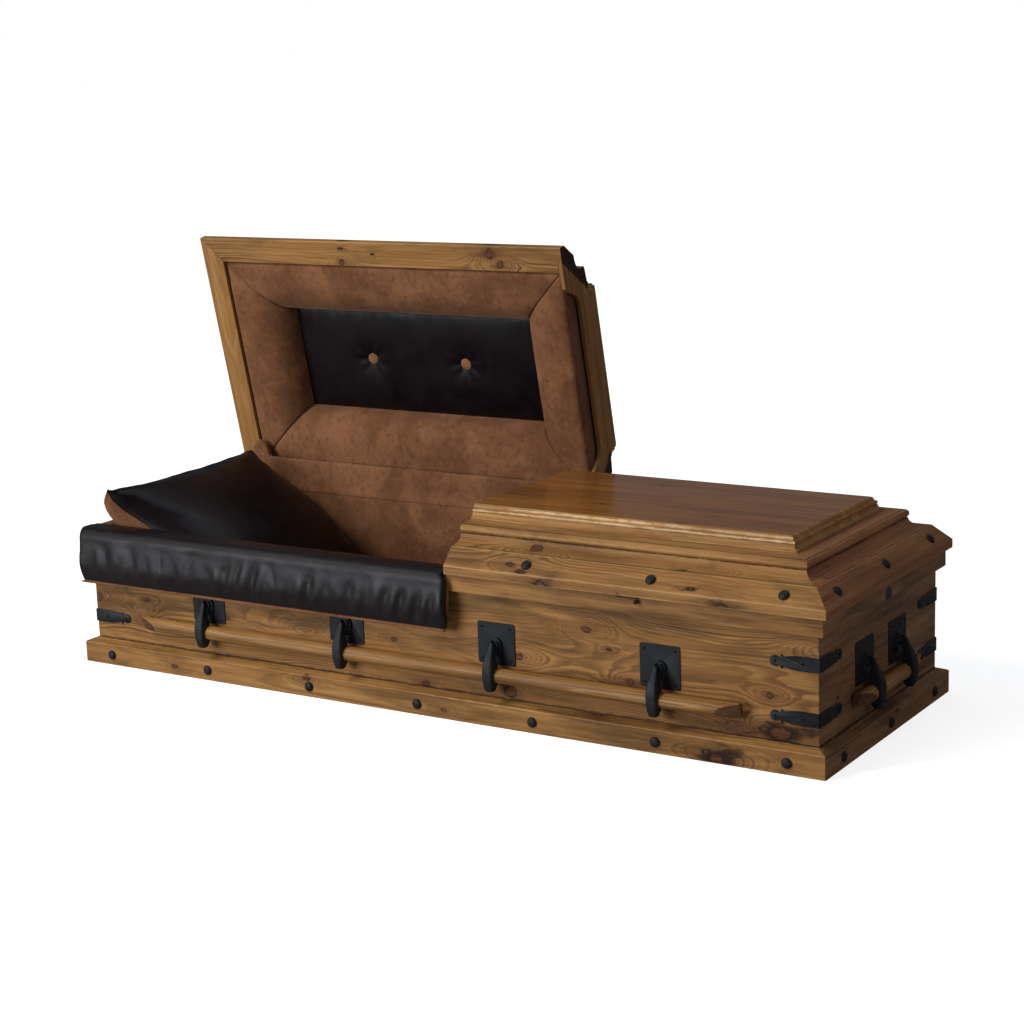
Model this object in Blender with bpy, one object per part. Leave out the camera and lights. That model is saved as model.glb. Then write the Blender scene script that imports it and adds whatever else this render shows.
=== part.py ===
# A rustic pine casket with a lid in two halves. The head half stands open, the foot half is closed.
# +X runs towards the foot end, the front is -Y, and the origin is the centre of the underside.
# All sizes are metres. An offset counts outwards from the outer face of the case walls.

import math

import bmesh
import bpy
from mathutils import Matrix, Vector

# Case
CASE_LENGTH = 2.072
CASE_WIDTH = 0.672
WALL_THICKNESS = 0.020
WALL_TOP = 0.315
BOTTOM_THICKNESS = 0.018
FIT = 0.0003

# Plinth: a square board whose top slopes up to the wall
PLINTH_OUT = 0.026
PLINTH_FACE = 0.055
PLINTH_RISE = 0.010

# Rail on top of the walls
RAIL_OUT = 0.018
RAIL_HEIGHT = 0.043

# Lid frame and crown moulding, from the rim up to the panel
RIM_OUT = 0.030
RIM_THICKNESS = 0.021
FRAME_WIDTH = 0.066
SLOPE_RUN = 0.038
SLOPE_RISE = 0.0395
COVE_LEDGE = 0.004
COVE_RUN = 0.038
COVE_RISE = 0.022
TORUS_RADIUS = 0.0105
TORUS_SET_BACK = 0.0085
STEP_RUN = 0.036
STEP_RISE = 0.004
SEAT_WIDTH = 0.031
SEAT_THICKNESS = 0.0145
SEAT_SHELF = 0.033
FRAME_INNER_HEIGHT = 0.0314

# Lid panel with its moulded edge
PANEL_EDGE = 0.003
PANEL_COVE = 0.010
PANEL_BEAD_RADIUS = 0.0045
PANEL_BEAD_GAP = 0.001
PANEL_ROUND_SET_BACK = 0.002
PANEL_ROUND = 0.009
PANEL_THICKNESS = 0.033

# Where the two lids meet, and how far the head lid stands open
SPLIT_X = 0.0935
SPLIT_GAP = 0.0015
OPEN_ANGLE = math.radians(77.8)

# Arch board that closes each lid at the split
ARCH_THICKNESS = 0.012
ARCH_OFFSET = -0.0074
ARCH_HEIGHT = 0.131
ARCH_FOOT_WIDTH = 0.072
ARCH_RAIL_WIDTH = 0.070
ARCH_INNER_CORNER = 0.027
ARCH_SHOULDER = 0.045
ARCH_SHOULDER_DROP = 0.025
NOTCH_MARGIN = 0.002

# Hinge behind the rail
KNUCKLE_RADIUS = 0.0035
LEAF_THICKNESS = 0.0015
LEAF_DROP = 0.028
LEAF_WIDTH = 0.0077
HINGE_END_MARGIN = 0.040

# Swing handles: a round bar held in the hooks of cast arms that hang from lugs
PLATE_SIZE = 0.102
PLATE_CORNER = 0.006
PLATE_THICKNESS = 0.0025
PLATE_HEIGHT = 0.198
LONG_PLATE_POSITIONS = (-0.650, -0.217, 0.217, 0.650)
SHORT_PLATE_POSITIONS = (-0.0945, 0.0945)
LUG_RADIUS = 0.0165
LUG_DEPTH = 0.009
LUG_DROP = 0.029
LUG_FOOT_SHARE = 0.8
BOSS_RADIUS = 0.012
BOSS_DEPTH = 0.0160
SLOT_WIDTH = 0.011
PIVOT_OUT = 0.016
PIVOT_HEIGHT = 0.197
HEAD_RADIUS = 0.0062
HEAD_WIDTH = 0.0104
NECK_DEPTH = 0.0102
NECK_SHARE = 0.9
ARM_HALF_WIDTH = 0.0145
HOOK_WALL = 0.0038
BAR_RADIUS = 0.018
BAR_OUT = 0.024
BAR_HEIGHT = 0.1278
LONG_BAR_LENGTH = 1.715
SHORT_BAR_LENGTH = 0.345
BAR_FLAT_LENGTH = 0.054
BAR_FLAT_DEPTH = 0.019
BAR_FLAT_TILT = math.radians(20)

# Soft lining
LINING_THICKNESS = 0.008
LINING_DROP = 0.002
PAD_CLEARANCE = 0.003
PAD_RECESS = 0.006
PAD_ROLL_WIDTH = 0.060
PAD_CEILING = 0.089
PAD_OFFSET = -0.190
PAD_BACK_RISE = 0.018
PAD_END_LEAN = 0.2
FLAP_THICKNESS = 0.016
FLAP_SET_BACK = 0.002
FLAP_HEIGHT = 0.078
FLAP_END_GAP = 0.004
FLAP_ROLL_WIDTH = 0.060
FLAP_ROLL_RISE = 0.046
FLAP_ROLL_OVERHANG = 0.008
FLAP_ROLL_RADIUS = 0.0252

# Apron over the front rail
APRON_HEM_THICKNESS = 0.0145
APRON_SWELL = 0.027
APRON_SWELL_RISE = 0.040
APRON_BULGE = 0.032
APRON_BULGE_RISE = 0.085
APRON_DROP = 0.136
APRON_TOP = 0.025
APRON_ROUND_START = 0.008
APRON_INNER_ROUND = 0.006
APRON_TUCK = 0.024
APRON_TUCK_THICKNESS = 0.0085
APRON_TUCK_RUN = 0.004
APRON_HEAD_INSET = 0.004

# Pillow leaning in the head end
PILLOW_SIDE_GAP = 0.0077
PILLOW_TOP = 0.468
PILLOW_TOP_BACK = 0.033
PILLOW_FOOT = 0.056
PILLOW_REACH = 0.448
PILLOW_FACE_CROWN = 0.050
PILLOW_BACK_CROWN = 0.125
PILLOW_SQUARENESS = 2.6
PILLOW_FULLNESS = 0.55
PILLOW_PINCH = 0.05

half_length = CASE_LENGTH / 2
half_width = CASE_WIDTH / 2
rail_top = WALL_TOP + RAIL_HEIGHT
lid_base = rail_top + FIT
hinge_y = half_width + RAIL_OUT + FIT + KNUCKLE_RADIUS
hinge_z = rail_top - FIT - KNUCKLE_RADIUS
mitre = FIT / math.sqrt(2)


def clear_scene():
    for item in list(bpy.data.objects):
        bpy.data.objects.remove(item)


def make_material(name, color, roughness, metallic=0.0):
    material = bpy.data.materials.new(name)
    material.use_nodes = True
    shader = material.node_tree.nodes["Principled BSDF"]
    shader.inputs["Base Color"].default_value = (*color, 1.0)
    shader.inputs["Roughness"].default_value = roughness
    shader.inputs["Metallic"].default_value = metallic
    return material


FINISHES = {
    "pine": ((0.30, 0.16, 0.055), 0.45, 0.0),
    "iron": ((0.016, 0.018, 0.020), 0.55, 0.6),
    "suede": ((0.20, 0.095, 0.055), 0.95, 0.0),
    "leather": ((0.012, 0.009, 0.009), 0.40, 0.0),
}


def add_object(name, mesh, finish, parent=None):
    item = bpy.data.objects.new(name, mesh)
    bpy.context.scene.collection.objects.link(item)
    if not mesh.materials:
        mesh.materials.append(make_material(name, *FINISHES[finish]))
    item.parent = parent
    return item


def mesh_from(name, bm, smooth=False, turn_faces=True):
    if turn_faces:
        bmesh.ops.recalc_face_normals(bm, faces=bm.faces)
    mesh = bpy.data.meshes.new(name)
    bm.to_mesh(mesh)
    bm.free()
    if smooth:
        mesh.shade_smooth()
        mesh.set_sharp_from_angle(angle=math.radians(35))
    return mesh


def place_empty(name, location, rotation=(0, 0, 0)):
    empty = bpy.data.objects.new(name, None)
    bpy.context.scene.collection.objects.link(empty)
    empty.location = location
    empty.rotation_euler = rotation
    return empty


def shifted(bm, origin):
    """Moves the shape so that the joint's axis passes through its own origin."""
    bmesh.ops.translate(bm, verts=bm.verts, vec=-Vector(origin))
    return bm


def arc(centre_a, centre_b, radius_a, radius_b, start, stop, count):
    points = []
    for i in range(count + 1):
        angle = math.radians(start + (stop - start) * i / count)
        points.append((centre_a + radius_a * math.cos(angle), centre_b + radius_b * math.sin(angle)))
    return points


def loft(bm, rings):
    """Joins rings of equal count with quads and caps both ends."""
    loops = [[bm.verts.new(point) for point in ring] for ring in rings]
    for lower, upper in zip(loops, loops[1:]):
        for i in range(len(lower)):
            j = (i + 1) % len(lower)
            bm.faces.new((lower[i], lower[j], upper[j], upper[i]))
    bm.faces.new(list(reversed(loops[0])))
    bm.faces.new(loops[-1])
    return bm


def box_bm(low, high):
    ring = [(low[0], low[1]), (high[0], low[1]), (high[0], high[1]), (low[0], high[1])]
    return loft(bmesh.new(), [[(x, y, z) for x, y in ring] for z in (low[2], high[2])])


def side_point(side, run, offset, z):
    """A point on one side of the case, from its distance along the side and its offset outwards."""
    if side == "front":
        return (run, -(half_width + offset), z)
    if side == "back":
        return (run, half_width + offset, z)
    if side == "foot":
        return (half_length + offset, run, z)
    return (-(half_length + offset), run, z)


def stick_bm(profile, side, low=None, high=None):
    """A board with its profile swept along one side. An end with no position of its own is mitred."""
    reach = half_length if side in ("front", "back") else half_width
    rings = []
    for stop, sign in ((low, -1), (high, 1)):
        ring = []
        for offset, z in profile:
            run = sign * (reach + offset - mitre) if stop is None else stop
            ring.append(side_point(side, run, offset, z))
        rings.append(ring)
    return loft(bmesh.new(), rings)


def boolean(item, cutter, operation="DIFFERENCE"):
    modifier = item.modifiers.new(operation.lower(), "BOOLEAN")
    modifier.operation = operation
    modifier.solver = "EXACT"
    modifier.object = cutter


def guide(name, bm, parent=None):
    mesh = mesh_from(name, bm)
    item = bpy.data.objects.new(name, mesh)
    bpy.context.scene.collection.objects.link(item)
    item.hide_render = True
    item.display_type = "WIRE"
    item.parent = parent
    return item


def solved_mesh(name, item):
    """The finished mesh of a shape that was put together from unions and cuts."""
    bpy.context.view_layer.update()
    graph = bpy.context.evaluated_depsgraph_get()
    mesh = bpy.data.meshes.new_from_object(item.evaluated_get(graph))
    mesh.name = name
    mesh.shade_smooth()
    mesh.set_sharp_from_angle(angle=math.radians(35))
    return mesh


def combined_mesh(name, solid, unions=(), cuts=()):
    base = guide(name + "_base", solid)
    tools = [(guide(name + "_union", bm), "UNION") for bm in unions]
    tools += [(guide(name + "_cut", bm), "DIFFERENCE") for bm in cuts]
    for tool, operation in tools:
        boolean(base, tool, operation)
    mesh = solved_mesh(name, base)
    for item in [base] + [tool for tool, operation in tools]:
        bpy.data.objects.remove(item)
    return mesh


def build_case():
    plinth = [
        (FIT, 0.0),
        (PLINTH_OUT, 0.0),
        (PLINTH_OUT, PLINTH_FACE),
        (FIT, PLINTH_FACE + PLINTH_RISE),
    ]
    wall = [(-WALL_THICKNESS, 0.0), (0.0, 0.0), (0.0, WALL_TOP), (-WALL_THICKNESS, WALL_TOP)]
    rail = [
        (-WALL_THICKNESS, WALL_TOP + FIT),
        (RAIL_OUT, WALL_TOP + FIT),
        (RAIL_OUT, rail_top),
        (-WALL_THICKNESS, rail_top),
    ]
    for board, profile in (("plinth", plinth), ("wall", wall), ("rail", rail)):
        for side in ("front", "back", "head", "foot"):
            name = f"{board}_{side}"
            add_object(name, mesh_from(name, stick_bm(profile, side)), "pine")
    inside_x = half_length - WALL_THICKNESS - FIT
    inside_y = half_width - WALL_THICKNESS - FIT
    bottom = box_bm((-inside_x, -inside_y, 0.0), (inside_x, inside_y, BOTTOM_THICKNESS))
    add_object("bottom_board", mesh_from("bottom_board", bottom), "pine")


def crown_profile():
    """The section of the lid's frame and crown moulding: outer face upwards, then the inner face down."""
    rim_top = lid_base + RIM_THICKNESS
    slope_in = RIM_OUT - SLOPE_RUN
    slope_top = rim_top + SLOPE_RISE
    cove_in = slope_in - COVE_LEDGE
    cove_top = slope_top + COVE_RISE
    torus_in = cove_in - COVE_RUN - TORUS_SET_BACK
    torus_z = cove_top + TORUS_RADIUS
    step_in = torus_in - STEP_RUN
    step_z = torus_z + TORUS_RADIUS + STEP_RISE
    seat_in = step_in - SEAT_WIDTH
    seat_low = step_z - SEAT_THICKNESS
    frame_in = RIM_OUT - FRAME_WIDTH
    inner_top = lid_base + FRAME_INNER_HEIGHT
    profile = [(frame_in, lid_base), (RIM_OUT, lid_base), (RIM_OUT, rim_top), (slope_in, slope_top)]
    profile += [
        (cove_in - COVE_RUN * math.sin(t), slope_top + COVE_RISE * (1 - math.cos(t)))
        for t in (math.radians(22.5 * i) for i in range(5))
    ]
    profile += arc(torus_in, torus_z, TORUS_RADIUS, TORUS_RADIUS, -60, 90, 6)
    profile += [(step_in, step_z), (seat_in, step_z), (seat_in, seat_low)]
    profile += [(seat_in + SEAT_SHELF, seat_low), (frame_in, inner_top)]
    return profile, step_in, step_z


def arch_outline(grow=0.0):
    """The outer edge of half an arch board, seen along the casket: its foot, then its sloping shoulder."""
    foot = half_width + ARCH_OFFSET + grow
    height = ARCH_HEIGHT + grow
    return [(foot, lid_base), (foot - height, lid_base + height)]


def arch_profile():
    """The whole arch board: sloping shoulders outside and a rounded arch inside."""
    outer = arch_outline()
    inner_foot = outer[0][0] - ARCH_FOOT_WIDTH
    inner_top = lid_base + ARCH_HEIGHT - ARCH_RAIL_WIDTH
    start = inner_foot - ARCH_INNER_CORNER
    shoulder = [
        (start - ARCH_SHOULDER * (1 - math.cos(t)), inner_top - ARCH_SHOULDER_DROP * (1 - math.sin(t)))
        for t in (math.radians(22.5 * i) for i in range(5))
    ]
    inner = [(inner_foot, lid_base)] + shoulder
    outside = outer + [(-y, z) for y, z in reversed(outer)]
    return outside + [(-y, z) for y, z in inner] + list(reversed(inner))


def lid_span(half):
    """Where a lid's run stops at the split; its other end is mitred."""
    if half == "head":
        return SPLIT_X - SPLIT_GAP / 2
    return SPLIT_X + SPLIT_GAP / 2


def rect_ring(offset, z, half, end_inset=0.0):
    """A level rectangle around one lid. The split side keeps its own line, moved in by end_inset."""
    split = lid_span(half)
    outer = half_length + offset
    y = half_width + offset
    if half == "head":
        x0, x1 = -outer, split - end_inset
    else:
        x0, x1 = split + end_inset, outer
    return [(x0, -y, z), (x1, -y, z), (x1, y, z), (x0, y, z)]


def panel_rings(half, edge_in, seat_z):
    """The panel's moulded edge: a cove, a bead and a rounded top."""
    low = seat_z + FIT
    top = low + PANEL_THICKNESS
    cove_low = low + PANEL_EDGE
    bead_z = cove_low + PANEL_COVE + PANEL_BEAD_GAP + PANEL_BEAD_RADIUS
    bead_in = edge_in - PANEL_COVE - PANEL_BEAD_RADIUS
    levels = [(edge_in, low), (edge_in, cove_low)]
    levels += [
        (edge_in - PANEL_COVE * math.sin(t), cove_low + PANEL_COVE * (1 - math.cos(t)))
        for t in (math.radians(30 * i) for i in range(1, 4))
    ]
    levels += arc(bead_in, bead_z, PANEL_BEAD_RADIUS, PANEL_BEAD_RADIUS, -60, 90, 4)
    round_in = bead_in - PANEL_ROUND_SET_BACK
    levels += [(round_in, top - PANEL_ROUND)]
    levels += arc(round_in - PANEL_ROUND, top - PANEL_ROUND, PANEL_ROUND, PANEL_ROUND, 30, 90, 2)
    return [rect_ring(offset, z, half) for offset, z in levels]


def padding_levels(edge):
    """The lid lining that shows: a flat roll inside the frame, then a hollow up to the recessed panel."""
    low = lid_base + PAD_RECESS
    rise = PAD_CEILING - PAD_RECESS
    roll_in = edge - PAD_ROLL_WIDTH
    hollow = [
        (roll_in - (roll_in - PAD_OFFSET) * math.sin(t), low + rise * (1 - math.cos(t)))
        for t in (math.radians(22.5 * i) for i in range(5))
    ]
    return [(edge, low)] + hollow


def build_lid(half, pivot):
    origin = (0, hinge_y, hinge_z)
    split = lid_span(half)
    profile, edge_in, seat_z = crown_profile()
    inward = -1 if half == "head" else 1
    arch_x = sorted((split, split + inward * ARCH_THICKNESS))

    # The arch board sits in a notch cut through the mouldings and the panel
    shoulder = arch_outline(FIT)
    foot, low = shoulder[0]
    notch = [(foot + NOTCH_MARGIN, low - NOTCH_MARGIN)] + shoulder
    notch += [(-y, z) for y, z in reversed(notch)]
    notch_x = sorted((split - inward * NOTCH_MARGIN, split + inward * (ARCH_THICKNESS + FIT)))
    cutter_bm = loft(bmesh.new(), [[(x, y, z) for y, z in notch] for x in notch_x])
    cutter = guide(f"{half}_lid_notch", shifted(cutter_bm, origin), pivot)

    for side in ("front", "back", half):
        name = f"{half}_lid_moulding_{'end' if side == half else side}"
        ends = {}
        if side != half:
            ends = {"high": split} if half == "head" else {"low": split}
        bm = shifted(stick_bm(profile, side, **ends), origin)
        item = add_object(name, mesh_from(name, bm), "pine", pivot)
        if side != half:
            boolean(item, cutter)

    name = f"{half}_lid_panel"
    panel = shifted(loft(bmesh.new(), panel_rings(half, edge_in, seat_z)), origin)
    boolean(add_object(name, mesh_from(name, panel), "pine", pivot), cutter)

    name = f"{half}_lid_arch_board"
    arch = loft(bmesh.new(), [[(x, y, z) for y, z in arch_profile()] for x in arch_x])
    add_object(name, mesh_from(name, shifted(arch, origin)), "pine", pivot)

    name = f"{half}_lid_lining"
    edge = RIM_OUT - FRAME_WIDTH - PAD_CLEARANCE
    arch_gap = ARCH_THICKNESS + FIT
    inner_rings = [rect_ring(offset, z, half, arch_gap + edge - offset) for offset, z in padding_levels(edge)]
    seat_in = edge_in - SEAT_WIDTH - FIT * 3
    seat_low = seat_z - SEAT_THICKNESS - FIT * 3
    backing = [(seat_in, seat_z - FIT), (seat_in, seat_low), (edge_in - FIT, seat_low)]
    backing += [(edge, lid_base + PAD_BACK_RISE)]
    outer_rings = [
        rect_ring(offset, z, half, arch_gap + (edge - offset) * PAD_END_LEAN) for offset, z in backing
    ]
    lining = shifted(loft(bmesh.new(), outer_rings + inner_rings), origin)
    add_object(name, mesh_from(name, lining, True), "suede", pivot)


def hinge_bands(half):
    """Three knuckles share the length of each lid: fixed, moving, fixed."""
    split = lid_span(half)
    stop = half_length - HINGE_END_MARGIN
    if half == "head":
        low, high = -stop, split
    else:
        low, high = split, stop
    third = (high - low) / 3
    return [(low + third * i + FIT, low + third * (i + 1) - FIT) for i in range(3)]


def knuckle_bm(band):
    ring = arc(hinge_y, hinge_z, KNUCKLE_RADIUS, KNUCKLE_RADIUS, 0, 330, 11)
    return loft(bmesh.new(), [[(x, y, z) for y, z in ring] for x in band])


def build_hinges(pivots):
    leaf_y = half_width + RAIL_OUT + FIT
    stop = half_length - HINGE_END_MARGIN
    leaf = box_bm((-stop, leaf_y, hinge_z - LEAF_DROP), (stop, leaf_y + LEAF_THICKNESS, hinge_z))
    fixed = [knuckle_bm(hinge_bands(half)[i]) for half in pivots for i in (0, 2)]
    room = KNUCKLE_RADIUS + FIT
    notches = []
    for half in pivots:
        low, high = hinge_bands(half)[1]
        near = (low - FIT, leaf_y - room, hinge_z - room)
        notches.append(box_bm(near, (high + FIT, hinge_y + room, hinge_z + room)))
    add_object("hinge_fixed_leaf", combined_mesh("hinge_fixed_leaf", leaf, fixed, notches), "iron")
    origin = (0, hinge_y, hinge_z)
    for half, pivot in pivots.items():
        low, high = hinge_bands(half)[1]
        top = lid_base - FIT
        plate = box_bm((low, hinge_y, top - LEAF_THICKNESS), (high, hinge_y + LEAF_WIDTH, top))
        knuckle = shifted(knuckle_bm((low, high)), origin)
        name = f"{half}_lid_hinge_leaf"
        add_object(name, combined_mesh(name, shifted(plate, origin), [knuckle]), "iron", pivot)


def rounded_square(size, corner, count=3):
    """The plate's outline about its own centre, as distances along the wall and up."""
    points = []
    reach = size / 2 - corner
    for quarter in range(4):
        start = 90 * quarter
        centre_a = reach * (1 if quarter in (0, 3) else -1)
        centre_b = reach * (1 if quarter in (0, 1) else -1)
        points += arc(centre_a, centre_b, corner, corner, start, start + 90, count)
    return points


def wall_prism(outline, near, far):
    """An outline on the wall, given as distances along and up, thickened outwards (-Y)."""
    return loft(bmesh.new(), [[(a, -out, b) for a, b in outline] for out in (near, far)])


def plate_mesh():
    plate = wall_prism(rounded_square(PLATE_SIZE, PLATE_CORNER), FIT, PLATE_THICKNESS)
    up = PIVOT_HEIGHT - PLATE_HEIGHT
    lug = arc(0, up, LUG_RADIUS, LUG_RADIUS, 0, 180, 8)
    lug += [(-LUG_RADIUS * LUG_FOOT_SHARE, up - LUG_DROP), (LUG_RADIUS * LUG_FOOT_SHARE, up - LUG_DROP)]
    lug_bm = wall_prism(lug, PLATE_THICKNESS / 2, LUG_DEPTH)
    boss = arc(0, up, BOSS_RADIUS, BOSS_RADIUS, 0, 337.5, 15)
    boss_bm = wall_prism(boss, PLATE_THICKNESS / 2, BOSS_DEPTH)
    reach = BOSS_RADIUS * 2
    slot = box_bm((-SLOT_WIDTH / 2, -BOSS_DEPTH * 2, up - reach), (SLOT_WIDTH / 2, -LUG_DEPTH, up + reach))
    return combined_mesh("handle_plate", plate, [lug_bm, boss_bm], [slot])


def arm_rings():
    """Level sections of the arm. Each row holds its height as a share of the pivot's height over the
    bar and a share of the bar's radius, how far its outer face has come from the neck to the hook,
    how far its inner face lies inside the bar's centre as a share of the radius, and its width."""
    sections = (
        (-0.043, 0.0, 0.00, 0.38, 0.34),
        (0.145, 0.0, 0.29, 0.34, 0.50),
        (0.390, 0.0, 0.67, 0.28, 0.72),
        (0.607, 0.0, 0.90, 0.40, 0.90),
        (1.0, 0.68, 1.00, 0.50, 1.00),
        (1.0, -0.60, 1.00, 0.50, 0.93),
        (1.0, -1.43, 0.85, 0.36, 0.69),
        (1.0, -2.07, 0.63, -0.17, 0.50),
    )
    drop = BAR_HEIGHT - PIVOT_HEIGHT
    neck_out = PIVOT_OUT + NECK_DEPTH
    hook_out = BAR_OUT + BAR_RADIUS + HOOK_WALL
    rings = []
    for drop_share, radius_share, hook_share, inner_share, width_share in sections:
        up = drop * drop_share + BAR_RADIUS * radius_share
        outer = neck_out + (hook_out - neck_out) * hook_share
        inner = BAR_OUT - BAR_RADIUS * inner_share
        half = ARM_HALF_WIDTH * width_share
        depth = outer - inner
        right = [
            (0.60 * half, inner),
            (half, inner + 0.28 * depth),
            (half, outer - 0.38 * depth),
            (0.55 * half, outer - 0.10 * depth),
        ]
        outline = right + [(0.0, outer)] + [(-a, out) for a, out in reversed(right)]
        rings.append([(a, PIVOT_OUT - out, up) for a, out in outline])
    return rings


def bar_section(radius, count=20):
    out, up = BAR_OUT - PIVOT_OUT, BAR_HEIGHT - PIVOT_HEIGHT
    return arc(out, up, radius, radius, 0, 360 - 360 / count, count - 1)


def arm_mesh():
    """One arm about its own pivot: the rounded head, the swelling blade and the hook for the bar."""
    head = arc(0, 0, HEAD_RADIUS, HEAD_RADIUS, 0, 330, 11)
    half = HEAD_WIDTH / 2
    head_bm = loft(bmesh.new(), [[(x, -a, b) for a, b in head] for x in (-half, half)])
    neck_side = half * NECK_SHARE
    neck_up = HEAD_RADIUS * NECK_SHARE * NECK_SHARE
    neck_bm = box_bm((-neck_side, -NECK_DEPTH / 2, -neck_up), (neck_side, 0.0, neck_up))
    blade_bm = loft(bmesh.new(), list(reversed(arm_rings())))
    reach = ARM_HALF_WIDTH * 3
    hole = bar_section(BAR_RADIUS + FIT)
    hole_bm = loft(bmesh.new(), [[(x, -a, b) for a, b in hole] for x in (-reach, reach)])
    return combined_mesh("handle_arm", blade_bm, [head_bm, neck_bm], [hole_bm])


def bar_mesh(name, length):
    """A round bar with a long slanting flat on the outer side of each end."""
    half = length / 2
    section = bar_section(BAR_RADIUS, 16)
    bm = loft(bmesh.new(), [[(x, -a, b) for a, b in section] for x in (-half, half)])
    centre = Vector((0, PIVOT_OUT - BAR_OUT, BAR_HEIGHT - PIVOT_HEIGHT))
    outward = Vector((0, -math.cos(BAR_FLAT_TILT), -math.sin(BAR_FLAT_TILT)))
    for sign in (-1, 1):
        start = centre + outward * BAR_RADIUS + Vector((sign * (half - BAR_FLAT_LENGTH), 0, 0))
        normal = (outward * BAR_FLAT_LENGTH + Vector((sign * BAR_FLAT_DEPTH, 0, 0))).normalized()
        geometry = list(bm.verts) + list(bm.edges) + list(bm.faces)
        cut = bmesh.ops.bisect_plane(bm, geom=geometry, plane_co=start, plane_no=normal, clear_outer=True)
        edges = [piece for piece in cut["geom_cut"] if isinstance(piece, bmesh.types.BMEdge)]
        bmesh.ops.contextual_create(bm, geom=edges)
    return mesh_from(name, bm, True)


SIDES = {
    "front": (0.0, LONG_PLATE_POSITIONS, LONG_BAR_LENGTH),
    "back": (math.pi, LONG_PLATE_POSITIONS, LONG_BAR_LENGTH),
    "foot": (math.pi / 2, SHORT_PLATE_POSITIONS, SHORT_BAR_LENGTH),
    "head": (-math.pi / 2, SHORT_PLATE_POSITIONS, SHORT_BAR_LENGTH),
}


def build_handles():
    plate = plate_mesh()
    arm = arm_mesh()
    for side, (turn, positions, length) in SIDES.items():
        reach = half_width if side in ("front", "back") else half_length
        spin = Matrix.Rotation(turn, 3, "Z")
        pivot_at = spin @ Vector((0, -(reach + PIVOT_OUT), PIVOT_HEIGHT))
        pivot = place_empty(f"{side}_handle_pivot", pivot_at, (0, 0, turn))
        for number, run in enumerate(positions, 1):
            plate_item = add_object(f"{side}_handle_plate_{number}", plate, "iron")
            plate_item.location = spin @ Vector((run, -reach, PLATE_HEIGHT))
            plate_item.rotation_euler = (0, 0, turn)
            arm_item = add_object(f"{side}_handle_arm_{number}", arm, "iron", pivot)
            arm_item.location = (run, 0, 0)
        add_object(f"{side}_handle_bar", bar_mesh(f"{side}_handle_bar", length), "pine", pivot)


def build_case_lining():
    outer_x = half_length - WALL_THICKNESS - FIT
    outer_y = half_width - WALL_THICKNESS - FIT
    low = BOTTOM_THICKNESS + FIT
    top = rail_top - LINING_DROP

    def ring(inset, z):
        x, y = outer_x - inset, outer_y - inset
        return [(-x, -y, z), (x, -y, z), (x, y, z), (-x, y, z)]

    rings = [ring(0, low), ring(0, top)]
    rings += [ring(LINING_THICKNESS, top), ring(LINING_THICKNESS, low + LINING_THICKNESS)]
    add_object("case_lining", mesh_from("case_lining", loft(bmesh.new(), rings)), "suede")


def build_lining_flap():
    """The back lining's loose upper edge, which stands up against the open lid and ends in a roll."""
    low = rail_top + FIT
    top = rail_top + FLAP_HEIGHT
    half_roll = FLAP_ROLL_WIDTH / 2
    left = -half_length + WALL_THICKNESS + LINING_THICKNESS + half_roll - FLAP_ROLL_OVERHANG
    right = lid_span("head") - FLAP_END_GAP
    outline = [(left, low), (right, low), (right, top), (left + FLAP_ROLL_WIDTH, top)]
    half_rise = FLAP_ROLL_RISE / 2
    outline += arc(left + half_roll, top + half_rise, FLAP_ROLL_RADIUS, half_rise, 0, 180, 6)
    near = half_width - WALL_THICKNESS - FLAP_SET_BACK
    bm = loft(bmesh.new(), [[(x, y, z) for x, z in outline] for y in (near, near + FLAP_THICKNESS)])
    add_object("lining_flap", mesh_from("lining_flap", bm, True), "suede")


def build_apron():
    """A padded cover hung over the front rail: a loose outer fall, a round top and a short tuck inside."""
    face = half_width + RAIL_OUT + FIT * 2
    inner = half_width - WALL_THICKNESS - LINING_THICKNESS - FIT * 2
    low = rail_top - APRON_DROP
    bottom = rail_top + FIT * 2
    top = rail_top + APRON_TOP
    tuck_low = rail_top - APRON_TUCK
    outer = face + APRON_BULGE
    lip = inner - APRON_TUCK_THICKNESS
    round_low = bottom - APRON_ROUND_START
    fall = [(face, low), (face + APRON_HEM_THICKNESS, low)]
    fall += [(face + APRON_SWELL, low + APRON_SWELL_RISE), (outer, low + APRON_BULGE_RISE)]
    fall += arc(face, round_low, APRON_BULGE - FIT, top - round_low, 0, 80, 4)
    fall += [(inner + APRON_INNER_ROUND, top - FIT), (lip, bottom + APRON_ROUND_START)]
    tucked = [(lip, tuck_low), (inner, tuck_low), (inner, bottom), (face, bottom)]
    untucked = [(lip, bottom + FIT), ((lip + inner) / 2, bottom), (inner, bottom), (face, bottom)]
    left = -half_length - RAIL_OUT + APRON_HEAD_INSET
    right = lid_span("head") - FIT
    tuck_start = -half_length + WALL_THICKNESS + LINING_THICKNESS + FIT * 2
    runs = ((left, untucked), (tuck_start, untucked), (tuck_start + APRON_TUCK_RUN, tucked), (right, tucked))
    bm = loft(bmesh.new(), [[(x, -y, z) for y, z in fall + end] for x, end in runs])
    add_object("apron", mesh_from("apron", bm, True), "leather")


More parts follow.
